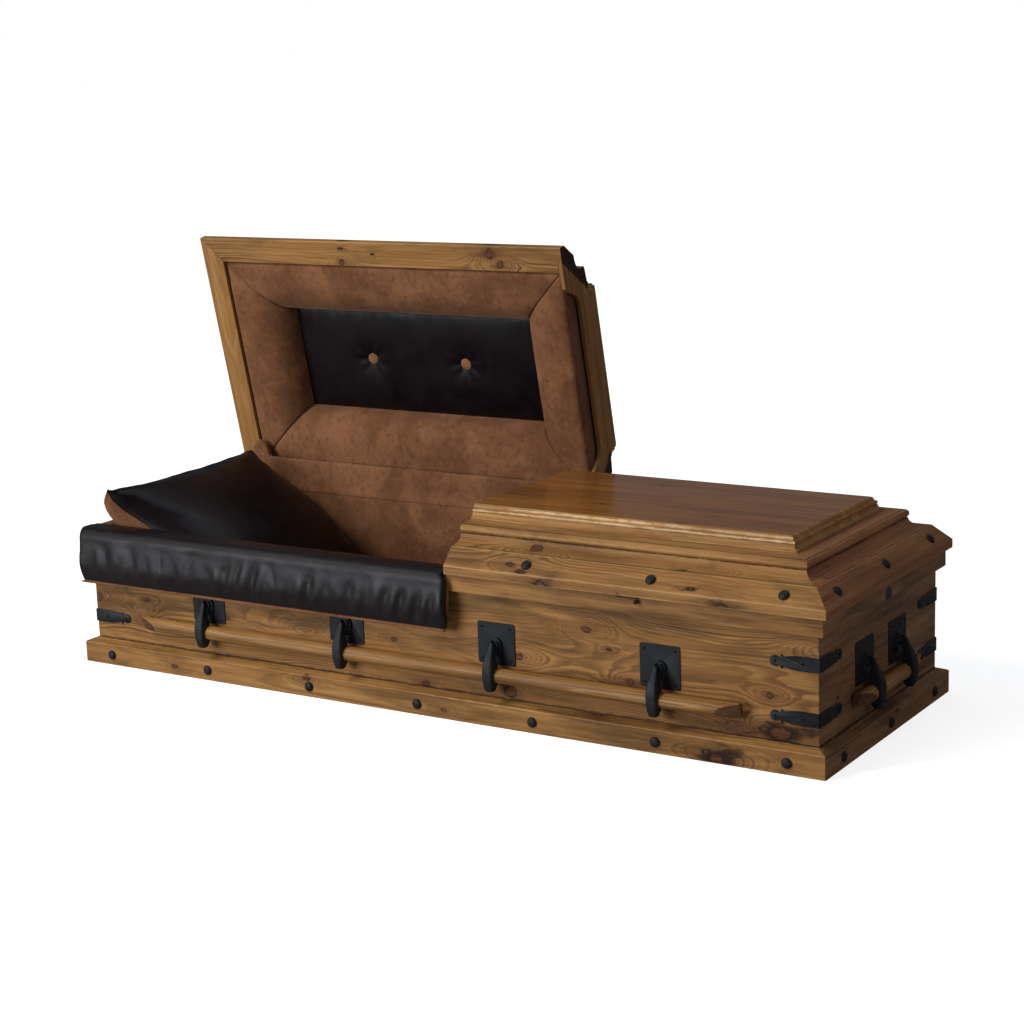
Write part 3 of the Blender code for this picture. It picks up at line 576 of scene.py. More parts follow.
def ironMaterial(name="blackIron", lift=1.0):
    material, tree, shader = newMaterial(name, Roughness=0.5, Metallic=0.15)
    place = node(tree, "ShaderNodeTexCoord").outputs["Object"]
    cloud = grain3(tree, scaled(tree, place, 34, 34, 34), 4, 0.6)
    sand = grain3(tree, scaled(tree, place, 700, 700, 700), 3, 0.6)
    tones = [tuple(value * lift for value in tone)
             for tone in ((0.0090, 0.0112, 0.0135), (0.0165, 0.0200, 0.0240))]
    color = blend(tree, smooth(tree, cloud, 0.3, 0.7), tones[0], tones[1])
    tree.links.new(color, shader.inputs["Base Color"])
    tree.links.new(smooth(tree, cloud, 0.3, 0.7, 0.44, 0.60), shader.inputs["Roughness"])
    height = plus(tree, times(tree, cloud, 0.6), times(tree, sand, 0.5))
    addRelief(tree, shader, height, 0.30, 0.0008)
    return material


def plainGrey():
    material, tree, shader = newMaterial("greyPlug", Roughness=0.7)
    place = node(tree, "ShaderNodeTexCoord").outputs["Object"]
    cloud = grain3(tree, scaled(tree, place, 160, 160, 160), 3, 0.6)
    color = blend(tree, cloud, (0.030, 0.033, 0.036), (0.060, 0.065, 0.070))
    tree.links.new(color, shader.inputs["Base Color"])
    return material


suede = suedeMaterial()
leather = leatherMaterial()
iron = ironMaterial()
# the screws' iron is a quarter as bright: painted shade, so that the heads read as dark recesses
darkIron = ironMaterial("darkIron", 0.25)
greyPlug = plainGrey()
print("materials ready")


# Boards of the case

plinth = {"out": 0.026, "face": 0.055, "rise": 0.010, "ease": 0.0018}
rail = {"out": 0.018, "height": 0.043, "ease": 0.0014}
wall = {"ease": 0.0012}
bottomBoard = {"ease": 0.001}
sideAxes = {
    # along, across (up), depth (outwards), from the outer face of the walls
    "front": ((1, 0, 0), (0, 0, 1), (0, -1, 0), (0, 0, -halfY)),
    "back": ((-1, 0, 0), (0, 0, 1), (0, 1, 0), (11.3, 0, -halfY)),
    "foot": ((0, 1, 0), (0, 0, 1), (1, 0, 0), (23.7, 0, -halfX)),
    "head": ((0, -1, 0), (0, 0, 1), (-1, 0, 0), (37.1, 0, -halfX)),
}

knotsOf = {
    # along, height, radius, stretch along the grain, smoke
    "wall_front": [
        (0.464, 0.289, 0.015, 1.25, 0.05), (0.461, 0.260, 0.0078, 1.7, 0.6), (0.518, 0.221, 0.004, 1.2, 0.9),
        (0.277, 0.173, 0.009, 1.2, 0.5), (0.573, 0.150, 0.0085, 1.2, 0.7), (0.250, 0.084, 0.014, 1.3, 0.7),
        (0.919, 0.166, 0.0075, 1.2, 0.75), (0.945, 0.083, 0.017, 1.7, 1.5), (0.905, 0.088, 0.006, 1.6, 1.4),
        (1.050, 0.287, 0.012, 2.2, 0.1), (-0.861, 0.183, 0.0055, 1.4, 0.9), (-1.028, 0.174, 0.012, 1.2, 0.6),
        (-0.595, 0.166, 0.007, 1.3, 0.6), (-0.875, 0.150, 0.007, 1.8, 0.0), (-0.348, 0.155, 0.013, 1.7, 0.05),
        (-0.078, 0.172, 0.0065, 1.3, 0.6)],
    "plinth_front": [
        (-0.757, 0.024, 0.006, 1.5, 0.7), (-0.331, 0.049, 0.007, 1.5, 0.7), (0.077, 0.022, 0.0055, 1.4, 0.7),
        (0.487, 0.066, 0.006, 2.0, 1.0), (0.801, 0.010, 0.013, 1.3, 1.6), (0.775, 0.024, 0.005, 1.3, 1.5)],
    "wall_foot": [
        (0.115, 0.270, 0.016, 1.6, 0.5), (-0.205, 0.205, 0.010, 1.5, 0.5), (0.090, 0.175, 0.012, 1.4, 0.9)],
    "plinth_foot": [(-0.345, 0.062, 0.010, 1.4, 1.2), (0.150, 0.020, 0.006, 1.4, 0.5)],
    "wall_back": [
        (-0.52, 0.21, 0.011, 1.5, 0.6), (0.37, 0.12, 0.013, 1.4, 0.8), (-0.07, 0.26, 0.007, 1.6, 0.5),
        (0.83, 0.23, 0.009, 1.4, 0.6)],
    "wall_head": [(0.10, 0.15, 0.012, 1.5, 0.7), (-0.17, 0.27, 0.008, 1.4, 0.5)],
}


def boardMaterials(board, endStain, **values):
    made = {}
    for number, side in enumerate(sides):
        shade = "honey" if side in ("front", "back") else endStain
        knots = knotsOf.get(f"{board}_{side}", ())
        stray = 0.12 if knots else values["stray"]
        made[side] = pine(f"pine_{board}_{side}", shade, seed=number * 2.3 + len(board), knots=knots,
                          **{**values, "stray": stray})
    return made


peg = {"at": (-0.486, -0.336), "hole": 0.0036, "depth": 0.013}     # the lid's peg and its hole in the rail


def buildBoards():
    hole = arc(*peg["at"], peg["hole"], peg["hole"], 0, 345, 23)
    hole = loft([[(x, y, z) for x, y in hole] for z in (railTop - peg["depth"], railTop + 0.004)])
    pegHole = addPiece("pegHole", meshOf("pegHole", hole))
    plinthLines = [(plinth["face"], plinth["out"], 0.0030), (0.0, plinth["out"], 0.003)]
    railLines = [(railTop - rail["height"], rail["out"], 0.0022)]
    # lines of painted shade darken the walls under the rail and above the plinth, and the plinth top against
    # the wall
    looks = {
        "plinth": boardMaterials("plinth", "walnut", heart=(0.03, -0.05), wander=0.035, rubbed=plinthLines,
                                 settled=[(plinth["face"] + plinth["rise"], 0.0, 0.0045)], stray=0.5,
                                 rings=260, contrast=0.85, cloudy=0.85),
        "wall": boardMaterials("wall", "walnut", heart=(0.19, -0.13), wander=0.075, rings=230, stray=0.4,
                               contrast=0.95, cloudy=0.85,
                               settled=[(railTop - rail["height"], 0.0, 0.007),
                                        (plinth["face"] + plinth["rise"], 0.0, 0.006)]),
        "rail": boardMaterials("rail", "walnut", heart=(0.34, -0.10), wander=0.03, rubbed=railLines,
                               stray=0.1, rings=200, contrast=0.50, cloudy=0.75),
    }
    eases = {"plinth": plinth["ease"], "wall": wall["ease"], "rail": rail["ease"]}
    for board, made in looks.items():
        for side in sides:
            name = f"{board}_{side}"
            mesh = eased(cadCopy(name), eases[board])
            if name == "rail_front":
                mesh = combined(mesh, pegHole, angle=18)
            setGrain(mesh, *sideAxes[side])
            finishPiece(name + "_wood", mesh, made[side], "case", (name,))
    removePiece(pegHole)
    mesh = eased(cadCopy("bottom_board"), bottomBoard["ease"])
    setGrain(mesh, (1, 0, 0), (0, 1, 0), (0, 0, 1), (51.0, 0, 0))
    finishPiece("bottom_board_wood", mesh, pine("pine_bottom", seed=9.1, stray=0.5), "case",
                ("bottom_board",))
    print("case boards done")


buildBoards()


# Lids: crown moulding, panel and arch board

crown = {
    "rimOut": 0.030, "rim": 0.021, "frame": 0.066, "slopeRun": 0.038, "slopeRise": 0.0395,
    "ledge": 0.004, "coveRun": 0.038, "coveRise": 0.022, "torus": 0.0105, "setBack": 0.0085,
    "stepRun": 0.036, "stepRise": 0.004, "seat": 0.031, "seatDepth": 0.0145, "shelf": 0.033,
    "innerHeight": 0.0314, "ease": 0.0011, "tilt": math.radians(38),
}
panel = {"edge": 0.003, "cove": 0.010, "bead": 0.0045, "gap": 0.001, "setBack": 0.002, "round": 0.009,
         "thickness": 0.033, "ease": 0.0009}
archBoard = {"thickness": 0.012, "offset": -0.0074, "height": 0.131, "foot": 0.072, "rail": 0.070,
             "corner": 0.027, "shoulder": 0.045, "drop": 0.025, "ease": 0.0016}


def crownProfile():
    # offset outwards from the walls and height, with the named lines of rubbed wear and of painted shade
    rimTop = lidBase + crown["rim"]
    slopeIn = crown["rimOut"] - crown["slopeRun"]
    slopeTop = rimTop + crown["slopeRise"]
    coveIn = slopeIn - crown["ledge"]
    coveTop = slopeTop + crown["coveRise"]
    torusIn = coveIn - crown["coveRun"] - crown["setBack"]
    torusZ = coveTop + crown["torus"]
    stepIn = torusIn - crown["stepRun"]
    stepZ = torusZ + crown["torus"] + crown["stepRise"]
    seatIn = stepIn - crown["seat"]
    seatLow = stepZ - crown["seatDepth"]
    frameIn = crown["rimOut"] - crown["frame"]
    points = [(frameIn, lidBase), (crown["rimOut"], lidBase), (crown["rimOut"], rimTop), (slopeIn, slopeTop)]
    points += [(coveIn - crown["coveRun"] * math.sin(t), slopeTop + crown["coveRise"] * (1 - math.cos(t)))
               for t in quarter(12)]
    points += arc(torusIn, torusZ, crown["torus"], crown["torus"], -60, 90, 14)
    points += [(stepIn, stepZ), (seatIn, stepZ), (seatIn, seatLow), (seatIn + crown["shelf"], seatLow),
               (frameIn, lidBase + crown["innerHeight"])]
    rubbed = [(crown["rimOut"], lidBase, 0.0045), (crown["rimOut"], rimTop, 0.0035),
              (slopeIn, slopeTop, 0.003), (torusIn + crown["torus"], torusZ, 0.004)]
    # painted shade lines at the foot of the cove, under the torus and along its top
    settled = [(coveIn, slopeTop, 0.003), (torusIn + crown["torus"] * 0.5, coveTop, 0.0045),
               (torusIn - 0.001, torusZ + crown["torus"], 0.003)]
    return points, rubbed, settled, stepIn, stepZ


def sidePoint(side, run, offset, z):
    if side == "front":
        return (run, -(halfY + offset), z)
    if side == "back":
        return (run, halfY + offset, z)
    if side == "foot":
        return (halfX + offset, run, z)
    return (-(halfX + offset), run, z)


def stick(profile, side, low=None, high=None):
    reach = halfX if side in ("front", "back") else halfY
    gap = fit / math.sqrt(2)
    rings = []
    for stop, sign in ((low, -1), (high, 1)):
        rings.append([sidePoint(side, sign * (reach + offset - gap) if stop is None else stop, offset, z)
                      for offset, z in profile])
    return loft(rings)


def archOuter(grow=0.0):
    foot = halfY + archBoard["offset"] + grow
    height = archBoard["height"] + grow
    return [(foot, lidBase), (foot - height, lidBase + height)]


def archOutline():
    outer = archOuter()
    innerFoot = outer[0][0] - archBoard["foot"]
    innerTop = lidBase + archBoard["height"] - archBoard["rail"]
    start = innerFoot - archBoard["corner"]
    shoulder = [(start - archBoard["shoulder"] * (1 - math.cos(t)),
                 innerTop - archBoard["drop"] * (1 - math.sin(t))) for t in quarter(12)]
    inner = [(innerFoot, lidBase)] + shoulder
    outside = outer + [(-y, z) for y, z in reversed(outer)]
    return outside + [(-y, z) for y, z in inner] + list(reversed(inner))


def lidRing(offset, z, half, inset=0.0):
    split = splitOf(half)
    outer = halfX + offset
    y = halfY + offset
    x0, x1 = (-outer, split - inset) if half == "head" else (split + inset, outer)
    return [(x0, -y, z), (x1, -y, z), (x1, y, z), (x0, y, z)]


def tilted(side):
    # axes for a moulding: the grain's second axis climbs the slope
    along, up, out, shift = (Vector(v) for v in sideAxes[side])
    c, s = math.cos(crown["tilt"]), math.sin(crown["tilt"])
    wallFace = shift.z
    return along, up * c - out * s, out * c + up * s, (shift.x, -wallFace * s, wallFace * c)


def tiltedLine(line):
    offset, z, width = line
    c, s = math.cos(crown["tilt"]), math.sin(crown["tilt"])
    return (z * c - offset * s, offset * c + z * s, width)


def panelRings(half, edgeIn, seatZ):
    low = seatZ + fit
    top = low + panel["thickness"]
    coveLow = low + panel["edge"]
    beadZ = coveLow + panel["cove"] + panel["gap"] + panel["bead"]
    beadIn = edgeIn - panel["cove"] - panel["bead"]
    levels = [(edgeIn, low), (edgeIn, coveLow)]
    levels += [(edgeIn - panel["cove"] * math.sin(t), coveLow + panel["cove"] * (1 - math.cos(t)))
               for t in quarter(8)[1:]]
    levels += arc(beadIn, beadZ, panel["bead"], panel["bead"], -60, 90, 8)
    roundIn = beadIn - panel["setBack"]
    levels += [(roundIn, top - panel["round"])]
    levels += arc(roundIn - panel["round"], top - panel["round"], panel["round"], panel["round"], 20, 90, 6)
    return [lidRing(offset, z, half) for offset, z in levels], beadIn, beadZ, top


crownKnots = {
    "foot": [
        (0.310, 0.3604, 0.0115, 1.45, 0.6), (0.268, 0.3035, 0.006, 1.4, 0.9), (0.306, 0.288, 0.003, 1.6, 1.6),
        (0.359, 0.262, 0.011, 1.3, 1.2), (0.700, 0.3411, 0.004, 1.5, 0.9), (0.761, 0.368, 0.010, 1.8, 0.06),
        (0.740, 0.2968, 0.003, 2.2, 1.8), (0.820, 0.2615, 0.010, 1.5, 1.1), (0.560, 0.262, 0.006, 1.5, 0.8)],
    "head": [
        (-0.591, 0.2981, 0.0055, 1.3, 0.8), (-0.092, 0.2945, 0.0065, 1.4, 0.8),
        (-0.120, 0.2767, 0.009, 1.0, 0.9), (-0.590, 0.2750, 0.0025, 1.2, 1.5)],
}
panelKnots = {
    "foot": [
        (0.236, 0.083, 0.005, 2.0, 0.9), (0.174, -0.145, 0.003, 2.4, 0.9), (0.576, 0.027, 0.006, 1.6, 1.0),
        (0.864, -0.057, 0.005, 2.0, 0.9)],
    "head": (),
}


def buildLid(half):
    body = half + "_lid"
    opened = half == "head"
    split = splitOf(half)
    inward = -1 if opened else 1
    profile, rubbed, settled, edgeIn, seatZ = crownProfile()
    rubbed = [tiltedLine(line) for line in rubbed]
    settled = [tiltedLine(line) for line in settled]
    archX = sorted((split, split + inward * archBoard["thickness"]))
    margin = 0.002
    shoulder = archOuter(fit)
    foot, low = shoulder[0]
    notch = [(foot + margin, low - margin)] + shoulder
    notch += [(-y, z) for y, z in reversed(notch)]
    notchX = sorted((split - inward * margin, split + inward * (archBoard["thickness"] + fit)))
    cutter = addPiece("notch", meshOf("notch", loft([[(x, y, z) for y, z in notch] for x in notchX])))

    common = {"rubbed": rubbed, "settled": settled, "wander": 0.055, "rings": 270, "contrast": 1.0,
              "cloudy": 0.65, "stray": 0.15}
    woods = {
        "front": pine(f"pine_{half}_crown_front", seed=3.3 + len(half), heart=(0.26, 0.16),
                      knots=crownKnots[half], **common),
        "back": pine(f"pine_{half}_crown_back", seed=13.9 + len(half), heart=(0.24, 0.15), **common),
        "end": pine(f"pine_{half}_crown_end", "honey" if opened else "russet", seed=8.2,
                    heart=(0.20, 0.12), **{**common, "contrast": 0.35, "cloudy": 0.35}),
    }
    burnt = pine(f"pine_{half}_end_grain", "burnt", seed=2.0, contrast=0.6, stray=0.0)
    for side in ("front", "back", half):
        part = "end" if side == half else side
        ends = {}
        if side != half:
            ends = {"high": split} if opened else {"low": split}
        cutters = (cutter,) if side != half else ()
        mesh = eased(meshOf(side, stick(profile, side, **ends)), crown["ease"], cutters=cutters)
        setGrain(mesh, *tilted(side))
        paintFaces(mesh, lambda centre, normal: abs(centre.x - split) < 0.001 and abs(normal.x) > 0.9)
        name = f"{half}_lid_moulding_{part}"
        finishPiece(name + "_wood", mesh, woods[part], body, (name,), opened, burnt)

    rings, beadIn, beadZ, top = panelRings(half, edgeIn, seatZ)
    mesh = eased(meshOf("panel", loft(rings)), panel["ease"], cutters=(cutter,))
    setGrain(mesh, (1, 0, 0), (0, 1, 0), (0, 0, 1), (61.7, 0, -seatZ))
    beadAt = -(halfY + beadIn + panel["bead"] * 0.8)
    roundAt = -(halfY + beadIn - panel["setBack"])
    worn = [(sign * beadAt, beadZ - seatZ, 0.0042) for sign in (1, -1)]
    worn += [(sign * roundAt, panel["thickness"] - 0.004, 0.0045) for sign in (1, -1)]
    wood = pine(f"pine_{half}_panel", "amber", seed=5.2 + len(half), heart=(0.02, -0.05), wander=0.06,
                rings=150, contrast=0.35, cloudy=0.35, stray=0.25, roughness=0.30, coat=0.65,
                coatRoughness=0.10, bump=0.10, knots=panelKnots[half])
    sideWood = pine(f"pine_{half}_panel_side", "gilded", seed=7.2, heart=(0.02, -0.05), wander=0.03,
                    rings=260, contrast=0.6, stray=0.0, rubbed=worn)
    paintFaces(mesh, lambda centre, normal: normal.z < 0.97)
    name = f"{half}_lid_panel"
    finishPiece(name + "_wood", mesh, wood, body, (name,), opened, sideWood)

    outline = archOutline()
    mesh = eased(meshOf("arch", loft([[(x, y, z) for y, z in outline] for x in archX])), archBoard["ease"])
    setGrain(mesh, (0, 1, 0), (0, 0, 1), (1, 0, 0), (71.3, 0, 0))
    name = f"{half}_lid_arch_board"
    wood = pine(f"pine_{half}_arch", "honey", seed=6.6, heart=(0.30, -0.1), stray=0.15)
    finishPiece(name + "_wood", mesh, wood, body, (name,), opened)
    removePiece(cutter)
    print(half, "lid wood done")


for half in ("head", "foot"):
    buildLid(half)


# Handles

handle = {"pivotOut": 0.016, "pivotUp": 0.197, "plateUp": 0.198, "barOut": 0.024, "barUp": 0.1278,
          "barRadius": 0.018, "longBar": 1.715, "shortBar": 0.345, "flat": 0.054, "flatDepth": 0.019,
          "flatTilt": math.radians(20), "ease": 0.0009, "barEase": 0.0008, "screwInset": 0.039,
          "plateOut": 0.0025}
handleTurns = {"front": 0.0, "back": math.pi, "foot": math.pi / 2, "head": -math.pi / 2}
longPlaces = (-0.650, -0.217, 0.217, 0.650)
shortPlaces = (-0.0945, 0.0945)


def handlePlaces(side):
    return longPlaces if side in ("front", "back") else shortPlaces


def sideTurn(side):
    return Matrix.Rotation(handleTurns[side], 3, "Z")


def wallSpot(side, run, out, up):
    # a point on one side, from its run along the side seen from outside
    reach = halfY if side in ("front", "back") else halfX
    return sideTurn(side) @ Vector((run, -(reach + out), up))


def flatNormal(x):
    # the sawn flat at the bar's end on the side of x
    outward = Vector((0, -math.cos(handle["flatTilt"]), -math.sin(handle["flatTilt"])))
    return (outward * handle["flat"] + Vector((math.copysign(handle["flatDepth"], x), 0, 0))).normalized()


def barMesh(length):
    half = length / 2
    section = arc(0, 0, handle["barRadius"], handle["barRadius"], 0, 351, 39)
    stations = [-half + length * i / 24 for i in range(25)]
    bm = loft([[(x, a, b) for a, b in section] for x in stations])
    outward = Vector((0, -math.cos(handle["flatTilt"]), -math.sin(handle["flatTilt"])))
    for sign in (-1, 1):
        start = outward * handle["barRadius"] + Vector((sign * (half - handle["flat"]), 0, 0))
        geometry = list(bm.verts) + list(bm.edges) + list(bm.faces)
        cut = bmesh.ops.bisect_plane(bm, geom=geometry, plane_co=start, plane_no=flatNormal(sign),
                                     clear_outer=True)
        edges = [piece for piece in cut["geom_cut"] if isinstance(piece, bmesh.types.BMEdge)]
        bmesh.ops.contextual_create(bm, geom=edges)
    bmesh.ops.recalc_face_normals(bm, faces=bm.faces)
    return meshOf("bar", bm)


arm = {
    "neckOut": 0.0102, "hookOut": 0.0088, "halfWidth": 0.0145, "boxyAcross": 0.36, "boxyDeep": 0.34,
    "eye": 0.0062, "eyeHalf": 0.0052, "steps": 4, "points": 32,
    # share of the drop, of the bar's radius, of the way out, of the radius inwards, and of the width
    "sections": (
        (-0.10, 0.0, 0.00, 0.30, 0.22), (-0.043, 0.0, 0.03, 0.38, 0.34), (0.145, 0.0, 0.29, 0.34, 0.50),
        (0.390, 0.0, 0.67, 0.28, 0.72), (0.607, 0.0, 0.90, 0.40, 0.90), (1.0, 0.68, 1.00, 0.50, 1.00),
        (1.0, -0.60, 1.00, 0.50, 0.96), (1.0, -1.43, 0.88, 0.36, 0.80), (1.0, -2.02, 0.70, -0.05, 0.66),
        (1.0, -2.07, 0.64, -0.10, 0.58)),
}


def boxy(value, power):
    # a sine or cosine pushed outwards, so that a round section turns boxy
    return math.copysign(abs(value) ** power, value)


def armMesh():
    # the arm hangs from its pin, swells around the bar and ends in a blunt foot
    drop = handle["barUp"] - handle["pivotUp"]
    radius = handle["barRadius"]
    neckOut = handle["pivotOut"] + arm["neckOut"]
    hookOut = handle["barOut"] + radius + arm["hookOut"]
    sections = arm["sections"]
    rows = [[a + (b - a) * i / arm["steps"] for a, b in zip(first, second)]
            for first, second in zip(sections, sections[1:]) for i in range(arm["steps"])]
    rows.append(sections[-1])
    turns = [2 * math.pi * i / arm["points"] for i in range(arm["points"])]
    rings = []
    for dropShare, radiusShare, hookShare, innerShare, widthShare in rows:
        up = drop * dropShare + radius * radiusShare
        outer = neckOut + (hookOut - neckOut) * hookShare
        near = handle["barOut"] - radius * innerShare
        half = arm["halfWidth"] * widthShare
        middle, depth = (outer + near) / 2, (outer - near) / 2
        rings.append([(boxy(math.cos(t), arm["boxyAcross"]) * half,
                       handle["pivotOut"] - (middle + boxy(math.sin(t), arm["boxyDeep"]) * depth), up)
                      for t in turns])
    eye = arc(0, 0, arm["eye"], arm["eye"], 0, 345, 23)
    eye = loft([[(x, -a, b) for a, b in eye] for x in (-arm["eyeHalf"], arm["eyeHalf"])])
    eyePiece = addPiece("eye", meshOf("eye", eye))
    mesh = combined(meshOf("arm", loft(rings), 50), eyePiece, "UNION")
    removePiece(eyePiece)
    mesh.shade_smooth()
    mesh.set_sharp_from_angle(angle=math.radians(50))
    return mesh


def repeaterTree():
    # copies one head or fitting to every point, turned as the point says
    tree = bpy.data.node_groups.new("fittingsOnPoints", "GeometryNodeTree")
    face = tree.interface
    face.new_socket("Points", in_out="INPUT", socket_type="NodeSocketGeometry")
    face.new_socket("Fitting", in_out="INPUT", socket_type="NodeSocketObject")
    face.new_socket("Size", in_out="INPUT", socket_type="NodeSocketFloat")
    face.new_socket("Finish", in_out="INPUT", socket_type="NodeSocketMaterial")
    face.new_socket("Geometry", in_out="OUTPUT", socket_type="NodeSocketGeometry")
    start = tree.nodes.new("NodeGroupInput").outputs
    end = tree.nodes.new("NodeGroupOutput").inputs
    turn = tree.nodes.new("GeometryNodeInputNamedAttribute")
    turn.data_type = "FLOAT_VECTOR"
    turn.inputs["Name"].default_value = "turn"
    fitting = tree.nodes.new("GeometryNodeObjectInfo")
    tree.links.new(start["Fitting"], fitting.inputs["Object"])
    copies = tree.nodes.new("GeometryNodeInstanceOnPoints")
    tree.links.new(start["Points"], copies.inputs["Points"])
    tree.links.new(fitting.outputs["Geometry"], copies.inputs["Instance"])
    tree.links.new(turn.outputs["Attribute"], copies.inputs["Rotation"])
    tree.links.new(start["Size"], copies.inputs["Scale"])
    real = tree.nodes.new("GeometryNodeRealizeInstances")
    tree.links.new(copies.outputs[0], real.inputs[0])
    paint = tree.nodes.new("GeometryNodeSetMaterial")
    tree.links.new(real.outputs[0], paint.inputs[0])
    tree.links.new(start["Finish"], paint.inputs["Material"])
    tree.links.new(paint.outputs[0], end[0])
    return tree


repeater = repeaterTree()


def repeat(name, places, fittingMesh, finish, body, replaces=(), opened=False, size=1.0):
    # places holds (point, turn matrix); the result is one plain mesh
    mesh = bpy.data.meshes.new(name)
    mesh.from_pydata([tuple(point) for point, turn in places], [], [])
    turns = mesh.attributes.new("turn", "FLOAT_VECTOR", "POINT")
    turns.data.foreach_set("vector", [angle for point, turn in places for angle in turn.to_euler()])
    item = addPiece(name, mesh)
    fitting = addPiece(name + "_fitting", fittingMesh)
    modifier = item.modifiers.new("repeat", "NODES")
    modifier.node_group = repeater
    values = {"Fitting": fitting, "Size": size, "Finish": finish}
    for socket in repeater.interface.items_tree:
        if socket.name in values:
            modifier[socket.identifier] = values[socket.name]
    result = solved(item, name)
    removePiece(item)
    removePiece(fitting)
    if "turn" in result.attributes:
        result.attributes.remove(result.attributes["turn"])
    result.shade_smooth()
    result.set_sharp_from_angle(angle=math.radians(40))
    return finishPiece(name, result, finish, body, replaces, opened)


def buildHandles():
    for side in sides:
        for number in range(1, len(handlePlaces(side)) + 1):
            name = f"{side}_handle_plate_{number}"
            plate = eased(cadCopy(name), handle["ease"])
            finishPiece(name + "_iron", plate, iron, "case", (name,))
    hook = armMesh()
    barWood = pine("pine_bar", "honey", seed=4.4, heart=(0.0, -0.05), wander=0.015, rings=160, stray=0.12,
                   contrast=0.75, cloudy=0.35, roughness=0.42, coat=0.15)
    flatWood = pine("pine_bar_flat", "umber", seed=4.9, heart=(0.0, -0.05), rings=300, contrast=0.9,
                    stray=0.0)
    for side in sides:
        body = side + "_handle"
        turn = sideTurn(side)
        pivots = [(wallSpot(side, run, handle["pivotOut"], handle["pivotUp"]), turn)
                  for run in handlePlaces(side)]
        nodes = [f"{side}_handle_arm_{number}" for number in range(1, len(pivots) + 1)]
        repeat(side + "_handle_arms_iron", pivots, hook.copy(), iron, body, nodes)
        length = handle["longBar"] if side in ("front", "back") else handle["shortBar"]
        mesh = eased(barMesh(length), handle["barEase"], angle=38)
        setGrain(mesh, (1, 0, 0), (0, 0, 1), (0, 1, 0), (81.0 + handleTurns[side] * 3, 0, 0))
        paintFaces(mesh, lambda centre, normal: (normal.dot(flatNormal(centre.x)) > 0.995
                                                 or abs(normal.x) > 0.9))
        place = wallSpot(side, 0, handle["barOut"], handle["barUp"])
        mesh.transform(Matrix.Translation(place) @ turn.to_4x4())
        name = side + "_handle_bar"
        finishPiece(name + "_wood", mesh, barWood, body, (name,), False, flatWood)
    print("handles done")


buildHandles()


# Studs, screws, corner straps and small fittings

studs = {"radius": 0.0125, "edge": 0.0016, "rise": 0.0052, "up": 0.0275, "spacing": 0.3235,
         "endSpacing": 0.267, "shift": 0.0105, "slopeShare": 0.474, "slopeOut": 0.012}


def turned(profile, count):
    # a round head from its profile, radius and height, with its base at z = 0
    turns = [2 * math.pi * i / count for i in range(count)]
    return loft([[(radius * math.cos(t), radius * math.sin(t), z) for t in turns] for radius, z in profile])


def dome(radius, base, rise, angles):
    return [(radius * math.cos(t), base + rise * math.sin(t)) for t in map(math.radians, angles)]


def studMesh():
    radius, edge = studs["radius"], studs["edge"]
    profile = [(radius * 0.96, 0.0), (radius, edge * 0.6)]
    bm = turned(profile + dome(radius, edge, studs["rise"], (4, 18, 34, 50, 66, 80)), 22)
    for vertex in bm.verts:
        lump = noise.noise(vertex.co * 260 + Vector((3, 1, 7)))
        vertex.co.z += lump * 0.0006 if vertex.co.z > edge else 0
    return meshOf("stud", bm, 50)


def screwMesh():
    radius = 0.0038
    profile = [(radius, 0.0), (radius, 0.0004), (radius * 0.86, 0.0010), (radius * 0.55, 0.0014),
               (radius * 0.36, 0.0014), (radius * 0.30, 0.0005), (radius * 0.02, 0.0004)]
    return meshOf("screw", turned(profile, 12), 50)


strap = {
    "leg": 0.116, "heights": (0.2476, 0.124), "thickness": 0.0022, "screws": (0.038, 0.1035),
    "round": (0.0125, 0.0122), "ease": 0.0005,
    # half heights along one leg: blade, neck and pointed cusps, before the round end
    "blade": [
        (0.0, 0.0160), (0.020, 0.0166), (0.045, 0.0164), (0.064, 0.0148), (0.078, 0.0122), (0.0835, 0.0112),
        (0.0865, 0.0150), (0.0885, 0.0160), (0.0902, 0.0118), (0.0925, 0.0098)],
}


def strapMesh():
    upper = strap["blade"] + arc(strap["leg"] - strap["round"][0], 0, *strap["round"], 128, 0, 9)
    outline = upper + [(s, -h) for s, h in reversed(upper[:-1])]
    thick = strap["thickness"]
    first = [(-s, h) for s, h in outline]
    front = loft([[(x if x else thick, -out, z) for x, z in first] for out in (fit, thick)])
    side = loft([[(out, s if s else -thick, h) for s, h in outline] for out in (fit, thick)])
    other = addPiece("strapSide", meshOf("strapSide", side))
    mesh = combined(meshOf("strap", front), other, "UNION")
    removePiece(other)
    return eased(mesh, strap["ease"])


def cornerTurns():
    corners = ((halfX, -halfY, 0), (halfX, halfY, 90), (-halfX, halfY, 180), (-halfX, -halfY, 270))
    return [(x, y, Matrix.Rotation(math.radians(angle), 3, "Z")) for x, y, angle in corners]


def facing(direction):
    return Vector(direction).to_track_quat("Z", "Y").to_matrix()


def outwards(side, tilt=0.0):
    return facing(sideTurn(side) @ Vector((0, -math.cos(tilt), math.sin(tilt))))


